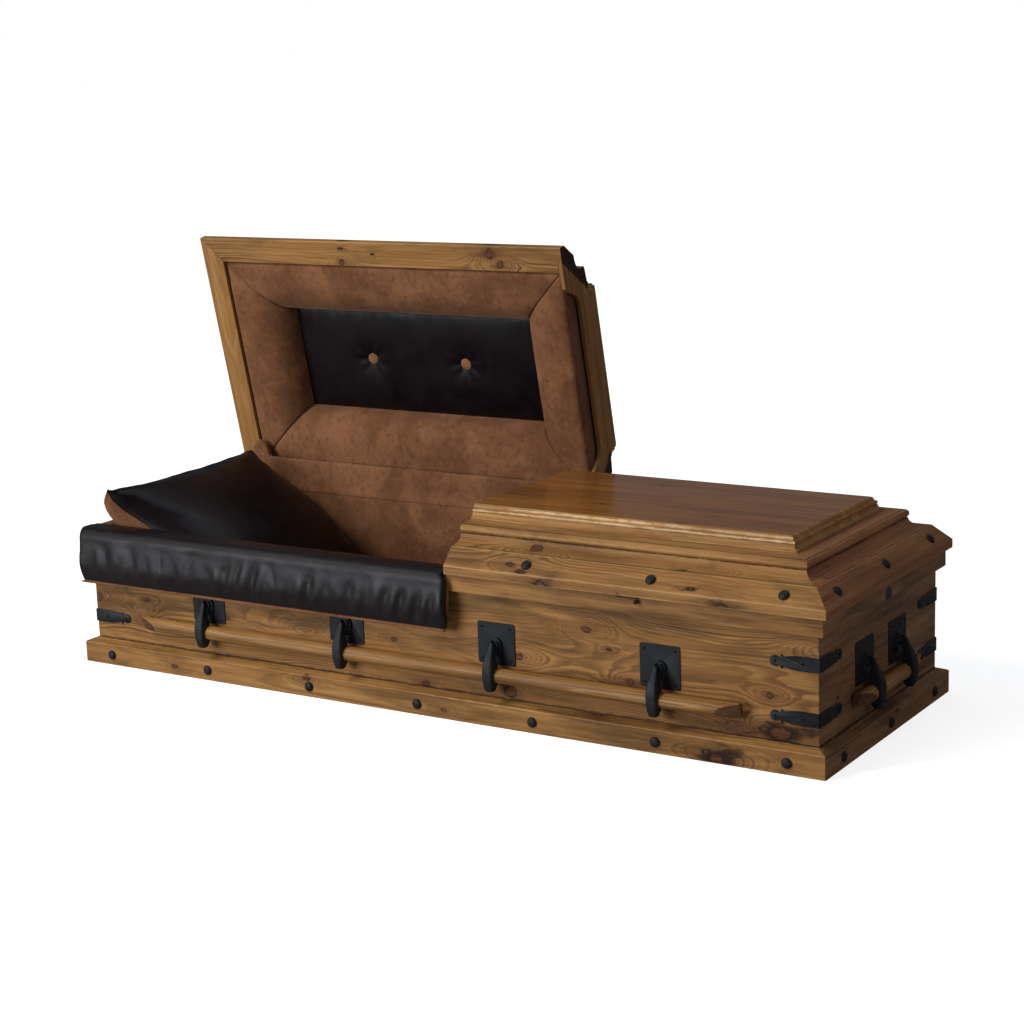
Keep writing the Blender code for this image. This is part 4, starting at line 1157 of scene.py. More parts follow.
def placeStuds():
    stud = studMesh()
    spacing, ends = studs["spacing"], [-studs["endSpacing"], 0, studs["endSpacing"]]
    spots = []
    for side in sides:
        runs = [spacing * k for k in range(-3, 4)] if side in ("front", "back") else ends
        spots += [(wallSpot(side, run, plinth["out"], studs["up"]), outwards(side)) for run in runs]
    repeat("plinth_studs", spots, stud.copy(), iron, "case")

    slopeUp = lidBase + crown["rim"] + crown["slopeRise"] * studs["slopeShare"]
    tilt = math.atan2(crown["slopeRun"], crown["slopeRise"])
    for half in ("head", "foot"):
        sign = 1 if half == "foot" else -1
        runs = [sign * spacing * k for k in (1, 2, 3)]
        rows = {"front": [run - studs["shift"] for run in runs],
                "back": [studs["shift"] - run for run in runs], half: ends}
        spots = [(wallSpot(side, run, studs["slopeOut"], slopeUp), outwards(side, tilt))
                 for side, places in rows.items() for run in places]
        repeat(half + "_lid_studs", spots, stud.copy(), iron, half + "_lid", (), half == "head")


def placeStraps():
    # four screws on every plate, two on each leg of a strap
    screws = []
    corner = (-handle["screwInset"], handle["screwInset"])
    for side in sides:
        for run in handlePlaces(side):
            screws += [(wallSpot(side, run + a, handle["plateOut"], handle["plateUp"] + b), outwards(side))
                       for a in corner for b in corner]
    straps = []
    thick = strap["thickness"]
    for x, y, turn in cornerTurns():
        for height in strap["heights"]:
            spot = Vector((x, y, height))
            straps.append((spot, turn))
            for s in strap["screws"]:
                for local, normal in (((-s, -thick, 0), (0, -1, 0)), ((thick, s, 0), (1, 0, 0))):
                    screws.append((spot + turn @ Vector(local), facing(turn @ Vector(normal))))
    repeat("corner_straps", straps, strapMesh(), iron, "case")
    # the screws take the quarter-bright iron as painted shade
    repeat("fitting_screws", screws, screwMesh(), darkIron, "case")


latch = {"ends": (0.554, 0.608), "heights": (0.3535, 0.3565), "depth": (0.0003, 0.0060), "ease": 0.0005}
smallFittings = {
    # name: place, direction, profile, sides of the round, finish, body, opened with the lid
    "latch_knob": ((0.604, -(halfY + rail["out"]), 0.3470), (0, -1, 0),
                   [(0.0036, 0.0), (0.0036, 0.0035), (0.0052, 0.0045), (0.0056, 0.0075), (0.0046, 0.0100),
                    (0.0020, 0.0112)], 18, iron, "case", False),
    "lid_peg": ((*peg["at"], lidBase), (0, 0, -1),
                [(0.0026, 0.0), (0.0026, 0.0075), (0.0018, 0.0088), (0.0004, 0.0092)], 14, iron, "head_lid",
                True),
    "rail_plug": ((halfX + rail["out"], 0.002, 0.3300), (1, 0, 0),
                  [(0.0150, 0.0), (0.0150, 0.0002), (0.0144, 0.0006), (0.0002, 0.0006)], 28, greyPlug, "case",
                  False),
}
plugWiden = 1.3
hingeLeaves = {"hinge_fixed_leaf": "case", "head_lid_hinge_leaf": "head_lid",
               "foot_lid_hinge_leaf": "foot_lid"}


def buildFittings():
    placeStuds()
    placeStraps()
    (x0, x1), (z0, z1) = latch["ends"], latch["heights"]
    faceY = -(halfY + rail["out"])
    blade = loft([[(x0, faceY - out, z0), (x1, faceY - out, z0), (x1, faceY - out, z1), (x0, faceY - out, z1)]
                  for out in latch["depth"]])
    finishPiece("latch_blade", eased(meshOf("latch", blade), latch["ease"]), iron, "case")
    for name, (place, direction, profile, count, finish, body, opened) in smallFittings.items():
        mesh = meshOf(name + "Head", turned(profile, count), 50)
        if name == "rail_plug":
            mesh.transform(Matrix.Diagonal((plugWiden, 1.0, 1.0, 1.0)))
        repeat(name, [(Vector(place), facing(direction))], mesh, finish, body, (), opened)
    for name, body in hingeLeaves.items():
        leaf = eased(cadCopy(name), hinge["ease"], 1)
        finishPiece(name + "_iron", leaf, iron, body, (name,))
    print("fittings done")


buildFittings()


# Soft goods: sewn covers over padding; pillow and apron are filled by air pressure, then smoothed

def netMesh(name, columns, rows, place, closedRows=False, closedLayers=False):
    # two layers of a grid that meet along their edges, or one closed tube with capped ends
    bm = bmesh.new()
    grid = {}
    layers = (0, 1) if closedLayers else (0,)
    for i in range(columns + 1):
        for j in range(rows + (0 if closedRows else 1)):
            edge = i in (0, columns) or j in (0, rows)
            for layer in layers:
                shared = layer == 1 and edge
                grid[i, j, layer] = grid[i, j, 0] if shared else bm.verts.new(place(i, j, layer))
    for i in range(columns):
        for j in range(rows):
            after = (j + 1) % rows if closedRows else j + 1
            for layer in layers:
                corners = [grid[a, b, layer] for a, b in ((i, j), (i + 1, j), (i + 1, after), (i, after))]
                face = bm.faces.new(corners if layer else list(reversed(corners)))
                face.material_index = layer
    if closedRows:
        for i in (0, columns):
            bm.faces.new([grid[i, j, 0] for j in range(rows)])
    bmesh.ops.recalc_face_normals(bm, faces=bm.faces)
    return meshOf(name, bm, 180)


coverCloth = {"quality": 6, "mass": 0.35, "tension_stiffness": 18, "compression_stiffness": 18,
              "shear_stiffness": 8, "bending_stiffness": 0.6}


def puffed(mesh, cap, pressure, frames, held, shrunk=(), shrink=0.0):
    # the cover is filled with air; no point moves further than cap
    item = addPiece("cover", mesh)
    rest = [vertex.co.copy() for vertex in mesh.vertices]
    cloth = item.modifiers.new("cloth", "CLOTH")
    settings = cloth.settings
    for key, value in coverCloth.items():
        setattr(settings, key, value)
    settings.use_pressure = True
    settings.uniform_pressure_force = pressure
    settings.effector_weights.gravity = 0
    for label, chosen in (("held", held), ("shrunk", shrunk)):
        if chosen:
            group = item.vertex_groups.new(name=label)
            group.add(list(chosen), 1.0, "REPLACE")
    settings.vertex_group_mass = "held"
    if shrunk:
        settings.vertex_group_shrink = "shrunk"
        settings.shrink_min = 0.0
        settings.shrink_max = shrink
    cloth.point_cache.frame_start = 1
    cloth.point_cache.frame_end = frames
    scene = bpy.context.scene
    for count in range(1, frames + 1):
        scene.frame_set(count)
    filled = solved(item, mesh.name)
    scene.frame_set(1)
    moved = 0.0
    for vertex, start in zip(filled.vertices, rest):
        move = vertex.co - start
        moved = max(moved, move.length)
        if move.length > cap:
            vertex.co = start + move * (cap / move.length)
    print(mesh.name, "filled, furthest move", round(moved, 4))
    removePiece(item)
    item = addPiece("cover", filled)
    finer = item.modifiers.new("finer", "SUBSURF")
    finer.levels = finer.render_levels = 1
    mesh = solved(item, mesh.name)
    removePiece(item)
    mesh.shade_smooth()
    return mesh


def clothPiece(name, mesh, material, body, replaces, opened=False, second=None):
    item = finishPiece(name, mesh, material, body, replaces, opened, second)
    return item


pad = {"clearance": 0.003, "recess": 0.006, "roll": 0.060, "ceiling": 0.089, "offset": -0.190,
       "backRise": 0.018, "lean": 0.2, "tuck": 0.009, "turn": 0.014, "swell": 0.0042, "groove": 0.0036}
buttons = {"x": (-0.608, -0.304), "y": -0.005, "radius": 0.0168, "sink": 0.012, "dimple": 0.036,
           "folds": 7, "foldAt": 0.030, "foldWidth": 0.022, "foldDepth": 0.0009}


def lidLiningMesh(half, profileEdge, seatZ):
    # rings of points round the lid, dense beside the mitre seams
    edge = crown["rimOut"] - crown["frame"] - pad["clearance"]
    archGap = archBoard["thickness"] + fit
    low = lidBase + pad["recess"]
    rise = pad["ceiling"] - pad["recess"]
    rollIn = edge - pad["roll"]
    seatIn = profileEdge - crown["seat"] - fit * 3
    seatLow = seatZ - crown["seatDepth"] - fit * 3
    backing = [(seatIn, seatZ - fit), (seatIn, seatLow), (profileEdge - fit, seatLow),
               (edge, lidBase + pad["backRise"])]
    turn = pad["turn"]
    section = [(edge - turn + turn * math.cos(t), low + pad["tuck"] - pad["tuck"] * math.sin(t))
               for t in quarter(5)]
    section += [(edge - turn - (pad["roll"] - turn) * i / 8, low) for i in range(1, 8)]
    section += [(rollIn - (rollIn - pad["offset"]) * math.sin(t), low + rise * (1 - math.cos(t)))
                for t in quarter(16)]
    count = 56      # points along each side
    shares = [t - 0.94 * math.sin(2 * math.pi * t) / (2 * math.pi) for t in (i / count for i in range(count))]
    bm = bmesh.new()
    away = []
    rows = []
    levels = [(o, z, archGap + (edge - o) * pad["lean"], False) for o, z in backing]
    levels += [(o, z, archGap + edge - o, True) for o, z in section]
    for number, (offset, z, inset, shown) in enumerate(levels):
        corners = [Vector(point) for point in lidRing(offset, z, half, inset)]
        row = []
        for a, b in zip(corners, corners[1:] + corners[:1]):
            reach = (b - a).length
            level = (number - len(backing)) / len(section) if shown else -1
            for share in shares:
                row.append(bm.verts.new(a.lerp(b, share)))
                away.append((min(share, 1 - share) * reach, level))
        rows.append(row)
    for lower, upper in zip(rows, rows[1:]):
        for i in range(len(lower)):
            j = (i + 1) % len(lower)
            bm.faces.new((lower[i], lower[j], upper[j], upper[i]))
    bm.faces.new(list(reversed(rows[0])))
    bm.faces.new(rows[-1])
    bmesh.ops.recalc_face_normals(bm, faces=bm.faces)
    bm.normal_update()
    moves = []
    for vertex, (distance, level) in zip(bm.verts, away):
        if level < 0:
            moves.append(0.0)
            continue
        spot = vertex.co * 9
        body = math.sin(math.pi * min(1, level * 1.15)) ** 0.6 if level < 0.87 else 0
        full = pad["swell"] * body * (1 - math.exp(-distance / 0.028))
        lump = 0.0012 * body * noise.noise(spot) + 0.0007 * body * noise.noise(spot * 3.1)
        gather = 0.0010 * noise.noise(Vector((vertex.co.x * 46, vertex.co.y * 46, 3))) * max(0, level - 0.55)
        seam = -pad["groove"] * math.exp(-(distance / 0.0026) ** 1.5) * min(1, level * 12) * (level < 0.97)
        moves.append(full + lump + gather + seam)
    places = [vertex.co + vertex.normal * move for vertex, move in zip(bm.verts, moves)]
    for vertex, place in zip(bm.verts, places):
        vertex.co = place
    return meshOf("lidLining", bm, 180), lidRing(pad["offset"], lidBase + pad["ceiling"], half,
                                                 archGap + edge - pad["offset"])


def panelSag(x, y, low, high):
    # depth of the buttoned leather below the lid's ceiling
    u = (x - low.x) / (high.x - low.x) * 2 - 1
    v = (y - low.y) / (high.y - low.y) * 2 - 1
    edge = min(x - low.x, high.x - x, y - low.y, high.y - y)
    sag = 0.0018 + 0.0125 * max(0, (1 - u ** 8) * (1 - abs(v) ** 3)) ** 0.6
    pleat = noise.noise(Vector((x * 21, 0.3, 1))) + 0.5 * noise.noise(Vector((x * 47, 2.3, 1)))
    sag += 0.0026 * pleat * math.exp(-edge / 0.035) * (1 - math.exp(-edge / 0.004))
    for at in buttons["x"]:
        dx, dy = x - at, y - buttons["y"]
        r = math.hypot(dx, dy)
        angle = math.atan2(dy, dx)
        sag -= buttons["sink"] * math.exp(-(r / buttons["dimple"]) ** 1.3)
        fold = math.cos(buttons["folds"] * angle + at * 20)
        fold *= math.exp(-((r - buttons["foldAt"]) / buttons["foldWidth"]) ** 2)
        sag += buttons["foldDepth"] * fold
    return max(0.0012, sag)


def buildLidLining(half):
    body = half + "_lid"
    profile, rubbed, settled, edgeIn, seatZ = crownProfile()
    mesh, opening = lidLiningMesh(half, edgeIn, seatZ)
    opened = half == "head"
    clothPiece(half + "_lid_lining_rolls", mesh, suede, body, (half + "_lid_lining",), opened)
    low, high = Vector(opening[0]), Vector(opening[2])
    columns, rows = (150, 60) if opened else (24, 10)
    top = lidBase + pad["ceiling"] - fit
    reach = 0.002

    def place(i, j, layer):
        x = low.x - reach + (high.x - low.x + reach * 2) * i / columns
        y = low.y - reach + (high.y - low.y + reach * 2) * j / rows
        edge = i in (0, columns) or j in (0, rows)
        if edge or layer:
            return (x, y, top)
        return (x, y, top - panelSag(x, y, low, high))

    mesh = netMesh("panel", columns, rows, place, closedLayers=True)
    clothPiece(half + "_lid_lining_panel", mesh, satinLeather, body, (), opened, satinLeather)
    if opened:
        radius = buttons["radius"]
        profile = [(radius * 0.90, -0.002), (radius, 0.0010)]
        profile += dome(radius, 0.0016, 0.0052, (12, 28, 44, 60, 76))
        spots = [(Vector((x, buttons["y"], top - panelSag(x, buttons["y"], low, high))), facing((0, 0, -1)))
                 for x in buttons["x"]]
        cap = meshOf("button", turned(profile, 28), 180)
        repeat("lid_buttons", spots, cap, buttonSuede, body, (), True)


pillowForm = {"side": 0.0077, "top": 0.468, "topBack": 0.030, "foot": 0.056, "reach": 0.470,
              "drawn": 0.080, "halfWidth": 0.282, "shift": -0.020, "bow": 0.070, "face": 0.034,
              "back": 0.150, "square": 3.0, "full": 0.46, "pinch": 0.030, "spill": 0.040,
              "spillSide": 0.032, "limit": 0.4745, "cap": 0.012, "shrink": 0.015, "pressure": 3.0,
              "frames": 20, "keep": 0.74}


def buildPillow():
    columns, rows = 64, 60
    room = halfY - inner["wall"] - fit - inner["lining"] - pillowForm["side"] + 0.004
    half = pillowForm["halfWidth"]
    wallX = -halfX + inner["wall"] + inner["lining"]
    floorZ = inner["floor"] + inner["lining"] + fit * 3
    top = Vector((wallX + pillowForm["topBack"], 0, pillowForm["top"]))
    along = Vector((wallX + pillowForm["reach"], 0, pillowForm["foot"])) - top
    normal = Vector((-along.z, 0, along.x)).normalized()

    def settle(point):
        # inside the case below the rail, spilling a little over it above
        over = max(0.0, min(1.0, (point.z - railTop - 0.002) / 0.060)) ** 0.7
        x = max(point.x, wallX + 0.0008 - pillowForm["spill"] * over)
        y = max(-room - pillowForm["spillSide"] * over, min(room, point.y))
        return Vector((x, y, min(pillowForm["limit"], max(point.z, floorZ))))

    def place(i, j, layer):
        u, v = 2 * i / columns - 1, 2 * j / rows - 1
        u, v = math.sin(u * 1.32) / math.sin(1.32), math.sin(v * 1.32) / math.sin(1.32)
        edge = i in (0, columns) or j in (0, rows)
        if u < 0 and layer == 0:
            fullness = max(0, 1 - abs(u) ** 2.1) ** 0.95
        else:
            fullness = max(0, 1 - abs(u) ** pillowForm["square"]) ** pillowForm["full"]
        fullness *= max(0, 1 - abs(v) ** pillowForm["square"]) ** pillowForm["full"]
        height = pillowForm["face"] * fullness if layer == 0 else -pillowForm["back"] * fullness
        ripple = noise.noise(Vector((u * 7, v * 7, 4.2 + layer)))
        ripple *= math.exp(-(1 - max(abs(u), abs(v))) * 7)
        height += (0.0025 if layer == 0 else 0.006) * ripple
        corner = max(0, -u) ** 3 * max(0, -v) ** 2
        if layer:
            height -= 0.095 * corner * (1 - abs(u) ** 8) ** 0.5 * (1 - abs(v) ** 8) ** 0.5
        pinch = 1 - pillowForm["pinch"] * (1 - v * v)
        inward = 1 - 0.018 * (1 - u * u) * abs(v) ** 6
        scallop = 1 + 0.006 * noise.noise(Vector((u * 5.1, v * 5.3, 9)))
        share = max(0.0, min(1.0, (v * inward * scallop + 1) / 2))
        height += pillowForm["bow"] * math.sin(math.pi * share ** 1.3)
        point = top + along * share + normal * height
        point.y = pillowForm["shift"] + u * pinch * half * scallop
        raised = max(0.0, min(1.0, (point.z - railTop - 0.01) / 0.07))
        if u < 0:
            point.y -= pillowForm["spillSide"] * raised * abs(u) ** 2
            point.x -= pillowForm["drawn"] * abs(u) ** 2.5 * math.sin(math.pi * min(1.0, share * 1.5)) ** 0.8
        return settle(point)

    mesh = netMesh("pillow", columns, rows, place, closedLayers=True)
    seam = {}
    for polygon in mesh.polygons:
        for index in polygon.vertices:
            seam.setdefault(index, set()).add(polygon.material_index)
    shrunk = [index for index, layers in seam.items() if len(layers) == 2]
    resting = [vertex.index for vertex in mesh.vertices
               if vertex.co.x < wallX + 0.0012 or vertex.co.z < floorZ + 0.0006]
    dress(mesh, [leather, suede])
    mesh = puffed(mesh, pillowForm["cap"], pillowForm["pressure"], pillowForm["frames"], resting, shrunk,
                  pillowForm["shrink"])

    def rounds(bm):
        # the seam keeps its line, and the front corner is smoothed most
        inside = [vertex for vertex in bm.verts
                  if len({piece.material_index for piece in vertex.link_faces}) == 1]
        corner = [vertex for vertex in inside if vertex.co.y < -0.10]
        return (bm.verts, 2), (inside, 5), (corner, 22)

    relaxed(mesh, rounds)
    for vertex in mesh.vertices:
        vertex.co = settle(vertex.co)
    item = clothPiece("pillow_cover", mesh, satinLeather, "case", ("pillow",), second=suede)
    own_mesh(item)
    print("pillow done")


apronForm = {"hem": 0.0145, "swell": 0.027, "swellRise": 0.030, "bulge": 0.0305, "bulgeRise": 0.056,
             "lean": 0.0230, "leanRise": 0.100, "drop": 0.136, "top": 0.0085, "start": 0.003,
             "shoulder": 0.020, "round": 0.006, "tuck": 0.024, "tuckThickness": 0.0085,
             "headInset": 0.004, "lip": 0.0035, "overhang": 0.0115, "welt": 0.0024, "cap": 0.004,
             "pressure": 2.0, "frames": 12, "keep": 0.80}
apronFolds = [
    # where along the case, lean, width, depth, lowest and highest share of the fall
    (-1.000, 0.10, 0.012, 0.0022, 0.10, 0.80), (-0.955, -0.20, 0.016, 0.0030, 0.15, 0.85),
    (-0.905, 0.25, 0.012, 0.0022, 0.05, 0.60), (-0.862, -0.15, 0.015, 0.0030, 0.20, 0.90),
    (-0.815, -0.30, 0.013, 0.0034, 0.00, 0.75), (-0.770, 0.20, 0.016, 0.0026, 0.25, 0.95),
    (-0.724, -0.25, 0.012, 0.0030, 0.00, 0.70), (-0.668, 0.15, 0.018, 0.0026, 0.30, 0.90),
    (-0.610, -0.10, 0.012, 0.0022, 0.05, 0.60), (-0.556, 0.30, 0.013, 0.0034, 0.10, 0.80),
    (-0.520, 0.35, 0.010, 0.0042, 0.15, 0.78), (-0.468, 0.30, 0.010, 0.0046, 0.10, 0.80),
    (-0.405, -0.15, 0.018, 0.0024, 0.25, 0.95), (-0.350, 0.25, 0.014, 0.0028, 0.05, 0.70),
    (-0.296, 0.32, 0.012, 0.0034, 0.15, 0.85), (-0.235, -0.20, 0.017, 0.0022, 0.30, 0.90),
    (-0.172, 0.30, 0.013, 0.0032, 0.05, 0.75), (-0.120, 0.10, 0.015, 0.0024, 0.25, 0.95),
    (-0.066, 0.38, 0.012, 0.0034, 0.05, 0.70), (-0.022, 0.42, 0.011, 0.0040, 0.00, 0.65),
    (0.028, 0.45, 0.010, 0.0042, 0.00, 0.60), (0.064, 0.30, 0.010, 0.0030, 0.05, 0.60),
]


def smoothPath(points, count):
    # an even walk along the points' smooth curve
    dense = []
    for i in range(len(points) - 1):
        before = points[max(i - 1, 0)]
        after = points[min(i + 2, len(points) - 1)]
        a, b = points[i], points[i + 1]
        for k in range(12):
            t = k / 12
            dense.append(tuple(0.5 * ((2 * q) + (r - p) * t + (2 * p - 5 * q + 4 * r - s) * t * t +
                                      (3 * q - p - 3 * r + s) * t ** 3)
                               for p, q, r, s in zip(before, a, b, after)))
    dense.append(points[-1])
    lengths = [0.0]
    for a, b in zip(dense, dense[1:]):
        lengths.append(lengths[-1] + math.dist(a, b))
    result = []
    spot = 0
    for k in range(count):
        goal = lengths[-1] * k / (count - 1)
        while spot < len(lengths) - 2 and lengths[spot + 1] < goal:
            spot += 1
        share = (goal - lengths[spot]) / max(1e-9, lengths[spot + 1] - lengths[spot])
        result.append(tuple(a + (b - a) * share for a, b in zip(dense[spot], dense[spot + 1])))
    return result


def buildApron():
    face = halfY + rail["out"] + fit * 2
    inside = halfY - inner["wall"] - inner["lining"] - fit * 2
    low = railTop - apronForm["drop"]
    bottom = railTop + fit * 2
    top = railTop + apronForm["top"]
    outer = face + apronForm["bulge"]
    lip = inside - apronForm["tuckThickness"]
    roundLow = bottom - apronForm["start"] - apronForm["shoulder"]
    outside = [(face + apronForm["hem"], low + apronForm["lip"]),
               (face + apronForm["swell"], low + apronForm["swellRise"]),
               (outer, low + apronForm["bulgeRise"]),
               (face + apronForm["lean"] + 0.0015, low + apronForm["leanRise"])]
    outside += [(face + apronForm["lean"] * math.cos(t), roundLow + (top - roundLow) * math.sin(t))
                for t in (math.radians(a) for a in (10, 30, 50, 68, 82))]
    outside += [((face + inside) / 2, top + 0.0004), (inside + apronForm["round"], top - 0.002),
                (lip, bottom + apronForm["start"]), (lip, railTop - apronForm["tuck"])]
    shown = smoothPath(outside, 44)
    hidden = [(inside, railTop - apronForm["tuck"]), (inside, bottom), (face, bottom), (face, low + 0.001)]
    under = []
    for (a, b), steps in zip(zip(hidden, hidden[1:]), (2, 4, 8)):
        under += [tuple(p + (q - p) * k / steps for p, q in zip(a, b)) for k in range(steps)]
    hem = [(face + 0.001, low), (face + apronForm["hem"] * 0.5, low - 0.0004),
           (face + apronForm["hem"] + 0.0012, low + 0.0006)]
    section = shown + under + hem
    left = -halfX - rail["out"] + apronForm["headInset"]
    right = splitOf("head") - fit
    lowRight = right + apronForm["overhang"]
    columns = 190
    fallSteps = 24      # how many of the section's points hang in front

    def place(i, j, layer):
        out, z = section[j]
        stop = right
        if z < bottom - 0.006 and out > face:
            corner = max(0.0, 1 - (z - low) / 0.016)
            stop = lowRight - 0.007 * corner * corner
        x = left + (stop - left) * i / columns
        near = min(x - left, stop - x)
        rounded = math.sqrt(max(0, 1 - max(0, 1 - near / 0.014) ** 2))
        shape = 0.62 + 0.38 * rounded
        if out > face + 0.002:
            out = face + (out - face) * shape
        elif z > bottom + 0.004:
            z = bottom + (z - bottom) * shape
        if j < fallSteps:
            v = j / fallSteps
            tallest = noise.noise(Vector((x * 5.2, v * 1.4, 2)))
            push = 0.0030 * tallest + 0.0026 * noise.noise(Vector((x * 15 + v * 1.5, v * 2.2, 8)))
            for at, lean, width, depth, lowest, highest in apronFolds:
                centre = at + lean * (v - 0.5) * 0.09 + 0.004 * noise.noise(Vector((at * 31, v * 3, 0)))
                gap = (x - centre) / (width * 1.25)
                if abs(gap) > 3.2:
                    continue
                middle, spread = (lowest + highest) / 2, (highest - lowest) / 2
                along = math.exp(-(((v - middle) / spread) ** 4) * 0.9)
                push -= 1.25 * depth * along * (math.exp(-gap * gap) - 0.55 * math.exp(-((gap - 1.7) ** 2)))
            held = min(1, v * 4) * min(1, (1 - v) * 2.2)
            out += push * held * held * (3 - 2 * held) * min(1, near / 0.02)
        return (x, -out, z)

    mesh = netMesh("apron", columns, len(section), place, closedRows=True)
    for polygon in mesh.polygons:
        middle = polygon.center
        hidden = middle.z < bottom + 0.001 and -middle.y < face + 0.001
        if hidden or middle.z < low + apronForm["lip"] * 0.8:
            polygon.material_index = 1
    held = []
    for vertex in mesh.vertices:
        out, z = -vertex.co.y, vertex.co.z
        ends = vertex.co.x < left + 0.002 or vertex.co.x > right - 0.002
        shoulder = z > bottom - 0.034 and out > inside
        if ends or shoulder or z < low + 0.006 or (out < face + 0.0015 and z < bottom + 0.0015):
            held.append(vertex.index)
    dress(mesh, [leather, suede])
    mesh = puffed(mesh, apronForm["cap"], apronForm["pressure"], apronForm["frames"], held)
    relaxed(mesh, lambda bm: [([vertex for vertex in bm.verts
                                if vertex.co.z > bottom - 0.060 and -vertex.co.y > face + 0.002], 4)], False)
    radius = apronForm["welt"]
    welt = arc(face + apronForm["hem"] + 0.0016, low - 0.0002, radius, radius, 0, 324, 9)
    along = [left + 0.002 + (lowRight - 0.010 - left) * i / 120 for i in range(121)]
    lifts = [0.0008 * noise.noise(Vector((x * 9, 0, 1))) for x in along]
    bm = loft([[(x, -out, z + lift) for out, z in welt] for x, lift in zip(along, lifts)])
    for piece in bm.faces:
        piece.material_index = 1
    bm.from_mesh(mesh)
    bm.to_mesh(mesh)
    bm.free()
    mesh.shade_smooth()
    for vertex in mesh.vertices:
        if vertex.co.z > bottom:
            vertex.co.x = min(vertex.co.x, right)
        vertex.co.x = max(vertex.co.x, left - 0.002)
    item = clothPiece("apron_cover", mesh, leather, "case", ("apron",), second=suede)
    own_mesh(item)
    print("apron done")


flapForm = {"thickness": 0.016, "setBack": 0.002, "height": 0.078, "gap": 0.004, "roll": 0.060,
            "rise": 0.046, "left": 0.026, "skirt": (0.0078, 0.0066), "skirtDrops": (0.0095, 0.0088),
            "fold": 0.013, "keep": 0.01}


def buildFlap():
    left = -halfX + flapForm["left"]
    right = splitOf("head") - flapForm["gap"]
    low = railTop + fit
    top = railTop + flapForm["height"]
    near = halfY - inner["wall"] - flapForm["setBack"]
    middle = near + flapForm["thickness"] / 2
    columns, rows = 150, 22

    def place(i, j, layer):
        x = left + (right - left) * (0.5 - 0.5 * math.cos(math.pi * i / columns))
        v = 0.5 - 0.5 * math.cos(math.pi * j / rows)
        lobe = 1 - ((x - left - flapForm["roll"] * 0.46) / (flapForm["roll"] * 0.5)) ** 2
        height = flapForm["height"] + 0.0012 * noise.noise(Vector((x * 11, 0, 5)))
        if lobe > 0:
            height += flapForm["rise"] * math.sqrt(lobe)
        z = low + (height - fit) * v
        spread = min(z - low + 0.007, low + height - z, x - left, right - x)
        bow = 0.0062 * math.exp(-(z - low) / 0.012)
        thick = flapForm["thickness"] / 2 * math.sqrt(max(0, 1 - max(0, 1 - spread / 0.007) ** 2))
        thick *= 1 + 0.10 * noise.noise(Vector((x * 13, z * 19, 3)))
        if x < left + flapForm["roll"] * 1.3:
            crease = math.hypot(x - left - flapForm["roll"] * 0.86, (z - low - height + 0.035) * 0.25)
            thick *= 1 - 0.5 * math.exp(-(crease / 0.004) ** 2)
            swollen = math.exp(-((x - left - flapForm["roll"] * 0.45) / 0.02) ** 2)
            thick *= 1 + 0.55 * swollen * max(0, (z - top + 0.02) / 0.05) ** 0.5 if z > top - 0.02 else 1
        if j < 2:
            return (x, near - flapForm["skirt"][layer], low - flapForm["skirtDrops"][j])
        return (x, middle - thick - bow if layer == 0 else middle + min(thick, flapForm["thickness"] / 2), z)

    mesh = netMesh("flap", columns, rows, place, closedLayers=True)
    item = clothPiece("lining_flap_cover", mesh, suede, "case", ("lining_flap",), second=suede)
    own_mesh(item)


caseLining = {"longest": 0.06, "rounds": 5, "ease": 0.0015}


def buildCaseLining():
    # long faces are divided, so that the cloth has points of its own
    bm = bmesh.new()
    bm.from_mesh(cadCopy("case_lining"))
    for _ in range(caseLining["rounds"]):
        longer = [edge for edge in bm.edges if edge.calc_length() > caseLining["longest"]]
        bmesh.ops.subdivide_edges(bm, edges=longer, cuts=1, use_grid_fill=True)
    bmesh.ops.triangulate(bm, faces=bm.faces)
    mesh = eased(meshOf("case_lining", bm), caseLining["ease"], angle=60)
    clothPiece("case_lining_cloth", mesh, suede, "case", ("case_lining",))


satinLeather = leatherMaterial("satinLeather", roughness=0.40, gloss=0.26)
buttonSuede = suedeMaterial("buttonSuede", 1.30)
for half in ("head", "foot"):
    buildLidLining(half)
buildCaseLining()
buildFlap()
buildApron()
buildPillow()
print("soft goods done")


# Floor, light and camera

def paleMaterial():
    # near white to the camera with a soft shadow, and a modest bounce on the casket
    material = bpy.data.materials.new("paleFloor")
    material.use_nodes = True
    tree = material.node_tree
    tree.nodes.clear()
    place = node(tree, "ShaderNodeTexCoord").outputs["Object"]
    cloud = grain3(tree, scaled(tree, place, 0.6, 0.6, 0.6), 2, 0.5)
    seen = node(tree, "ShaderNodeBsdfDiffuse", {
        "Color": blend(tree, cloud, (0.78, 0.78, 0.78), (0.82, 0.82, 0.82))}).outputs[0]
    strength = smooth(tree, vectors(tree, "LENGTH", place), 1.6, 3.6, studio["floorGlow"], 1.0)
    glow = node(tree, "ShaderNodeEmission", {"Color": (1, 1, 1, 1), "Strength": strength}).outputs[0]
    shown = node(tree, "ShaderNodeAddShader", {0: seen, 1: glow}).outputs[0]
    bounce = node(tree, "ShaderNodeBsdfDiffuse", {"Color": (*studio["bounce"], 1)}).outputs[0]
    camera = node(tree, "ShaderNodeLightPath").outputs["Is Camera Ray"]
    mixed = node(tree, "ShaderNodeMixShader", {0: camera, 1: bounce, 2: shown}).outputs[0]
    node(tree, "ShaderNodeOutputMaterial", {"Surface": mixed})
    return material


